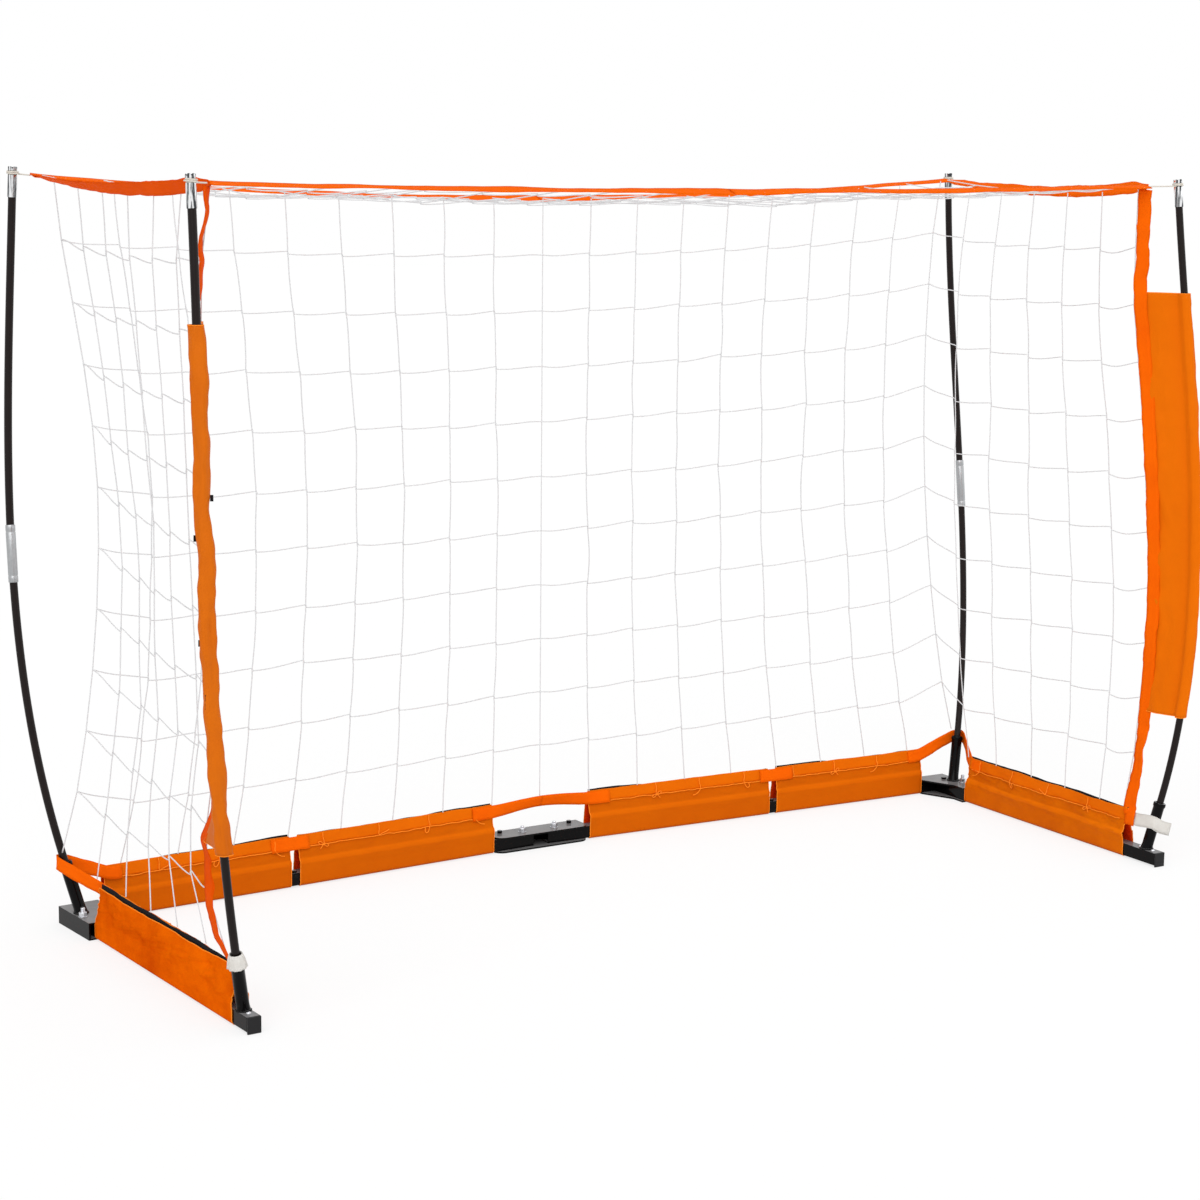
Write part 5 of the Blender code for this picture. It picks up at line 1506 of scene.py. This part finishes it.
def strands(name, surface, columns, rows, sway, kink, seed, first_column, body, node, last_slack=0.0):
    """Every cord of a panel, with a knot at each crossing, as one piece."""
    def shifted(a, b):
        """A place on the panel, a little off its true place except at the panel's edges."""
        if min(a, b) <= 0.0 or max(a, b) >= 1.0:
            return surface(a, b)
        edge = (sin(pi * a) * sin(pi * b)) ** 0.5
        across = 0.05 * edge / columns * ripple(a * columns * 0.6, b * rows * 0.6, seed)
        upright = 0.06 * edge / rows * ripple(a * columns * 0.9, b * rows * 0.9, seed + 5.0)
        point = surface(a + across, b + upright)
        du = surface(min(1.0, a + 0.01), b) - surface(max(0.0, a - 0.01), b)
        dv = surface(a, min(1.0, b + 0.01)) - surface(a, max(0.0, b - 0.01))
        out = du.cross(dv).normalized()
        return point + out * (sway * edge * ripple(a * columns * 0.5, b * rows * 0.5, seed + 9.0))

    knots = {(i, j): shifted(i / columns, j / rows) for i in range(columns + 1) for j in range(rows + 1)}

    paths = []
    for i in range(first_column, columns + 1):
        path = []
        inside = 0.0 if i in (0, columns) else 1.0
        for j in range(rows):
            below, above = knots[i, j], knots[i, j + 1]
            bow = ripple(i * 1.7, j * 2.3, seed + 13.0)
            drift = (knots[min(i + 1, columns), j] - knots[max(i - 1, 0), j]).normalized()
            for t in spread(0.0, 1.0, CORD_STEPS)[:-1]:
                jog = 0.0012 * (0.5 - t) if 0 < j < rows - 1 else 0.0
                swing = 0.0035 * bow * sin(pi * t) + jog
                path.append(below.lerp(above, t) + drift * (inside * swing))
        paths.append(path + [knots[i, rows]])
    for j in range(1, rows):
        path = []
        for i in range(columns):
            a, b = knots[i, j], knots[i + 1, j]
            slack = 0.0006 + 0.0022 * abs(ripple(i * 2.9, j * 1.3, seed + 17.0))
            slack += last_slack * (i == columns - 1)
            for t in spread(0.0, 1.0, CORD_STEPS):
                ease = t * t * (3.0 - 2.0 * t)
                jog = kink * (0.5 - ease)
                if (i == 0 and t < 0.5) or (i == columns - 1 and t > 0.5):
                    jog *= sin(pi * t)
                path.append(a.lerp(b, t) + UP * (jog - slack * sin(pi * t)))
        paths.append(path)
    net = corded(name, paths, CORD_OUT, 1)
    mesh = bmesh.new()
    mesh.from_mesh(net.data)
    for (i, j), point in knots.items():
        if 0 < i < columns and 0 < j < rows:
            at = Matrix.Translation(point)
            bmesh.ops.create_icosphere(mesh, subdivisions=1, radius=CORD_OUT * 1.7, matrix=at)
    mesh.to_mesh(net.data)
    mesh.free()
    bpy.ops.object.shade_smooth()
    return dress(net, net_look, body, "net_cord", node)


def under_ring(start, end, sag, share):
    return sagged(start, end, sag, max(0.0, min(1.0, share))).z - 0.001


def under_back(x):
    near, far = RING["back", "left"], RING["back", "right"]
    return under_ring(near, far, BACK_SAG, (x - near.x) / (far.x - near.x))


def under_side(side, y):
    front, back = RING["front", side], RING["back", side]
    return under_ring(front, back, SIDE_SAG, (y - front.y) / (back.y - front.y))


def corner_edge(plan, height, b):
    """Back corner of the net, from the post strap (0) up to the ring (1)."""
    foot = POLES["back", plan.side].curve(0.130) + plan.across(*CORNER_FEET[plan.side])
    corner = RING["back", plan.side] + plan.across(-0.030, -0.0125)
    top = Vector((corner.x, corner.y, height(corner)))
    power = CORNER_POWER[plan.side] if b > 0.5 else 0.75
    draw = max(0.0, sin(pi * b)) ** power
    return foot.lerp(top, b) - plan.across(*CORNER_DRAW) * draw


for side, plan in PLANS.items():
    def back_corner(b):
        return corner_edge(plan, lambda point: under_back(point.x), b)

    low_middle = Vector((0.0, plan.bolt.y - 0.004, NET_FOOT))
    high_middle = Vector((0.0, back_corner(1.0).y, under_back(0.0)))
    low_last = plan.on_half(0.797, 0.003, NET_FOOT)

    def back_foot(a):
        last = (BACK_COLUMNS - 1.0) / BACK_COLUMNS
        if a <= last:
            return low_middle.lerp(low_last, a / last)
        return low_last.lerp(back_corner(0.0), (a - last) / (1.0 - last))

    def back_top(a):
        point = high_middle.lerp(back_corner(1.0), a)
        point.z = under_back(point.x)
        return point

    back_panel = coons(back_foot, back_top, lambda b: low_middle.lerp(high_middle, b), back_corner)
    strands(
        f"net_cords_back_{side}", back_panel, BACK_COLUMNS, NET_ROWS, 0.008, -0.0045 * plan.sign,
        131.0 + plan.sign, 1 if side == "right" else 0, f"half_{side}", f"net_back_{side}",
    )

    def side_corner(b):
        return corner_edge(plan, lambda point: under_side(side, point.y), b)

    def side_front(b):
        z = row_height(NET_ROWS * b)
        step, along, _ = post_web_step(plan, z)
        return POLES["front", side].curve(z) + step + along * 0.012

    def side_foot(a):
        if a >= 1.0:
            return side_front(0.0)
        column = a * SIDE_COLUMNS
        i = int(column)
        feet = [side_corner(0.0)]
        feet += [plan.on_side(f, -0.004, NET_FOOT) for f in SIDE_FEET[side]]
        feet.append(side_front(0.0))
        return feet[i].lerp(feet[i + 1], column - i)

    def side_top(a):
        point = side_corner(1.0).lerp(side_front(1.0), a)
        point.z = under_side(side, point.y)
        return point

    side_panel = coons(side_foot, side_top, side_corner, side_front)
    strands(
        f"net_cords_{side}", side_panel, SIDE_COLUMNS, NET_ROWS, 0.008, SIDE_STEP[side],
        141.0 + plan.sign, 0, plan.corner_bend(), f"net_{side}",
        last_slack=0.006 if side == "right" else 0.0,
    )

corners = {
    (place, side): corner + PLANS[side].across(-0.012, 0.012 if place == "front" else -0.012)
    for (place, side), corner in RING.items()
}
roof_panel = coons(
    lambda a: sagged(corners["front", "left"], corners["front", "right"], FRONT_SAG, a),
    lambda a: sagged(corners["back", "left"], corners["back", "right"], BACK_SAG, a),
    lambda b: sagged(corners["front", "left"], corners["back", "left"], SIDE_SAG, b),
    lambda b: sagged(corners["front", "right"], corners["back", "right"], SIDE_SAG, b),
)
for side, plan in PLANS.items():
    roof = strands(
        f"net_cords_roof_{side}", lambda a, b: roof_panel(0.5 + plan.sign * a / 2.0, b),
        BACK_COLUMNS, ROOF_ROWS, 0.010, 0.004, 151.0 + plan.sign, 1 if side == "right" else 0,
        "centre_hinge", "net_roof",
    )
    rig.squash(roof, f"fold_{side}", axis=(1.0, 0.0, 0.0), anchor=(0.0, 0.0, 0.0), keep=0.10)

with open("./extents.json", "w") as file:
    boxes = {"cad": cad_box, "looks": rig.bounds()}
    json.dump({name: [list(corner) for corner in box] for name, box in boxes.items()}, file)
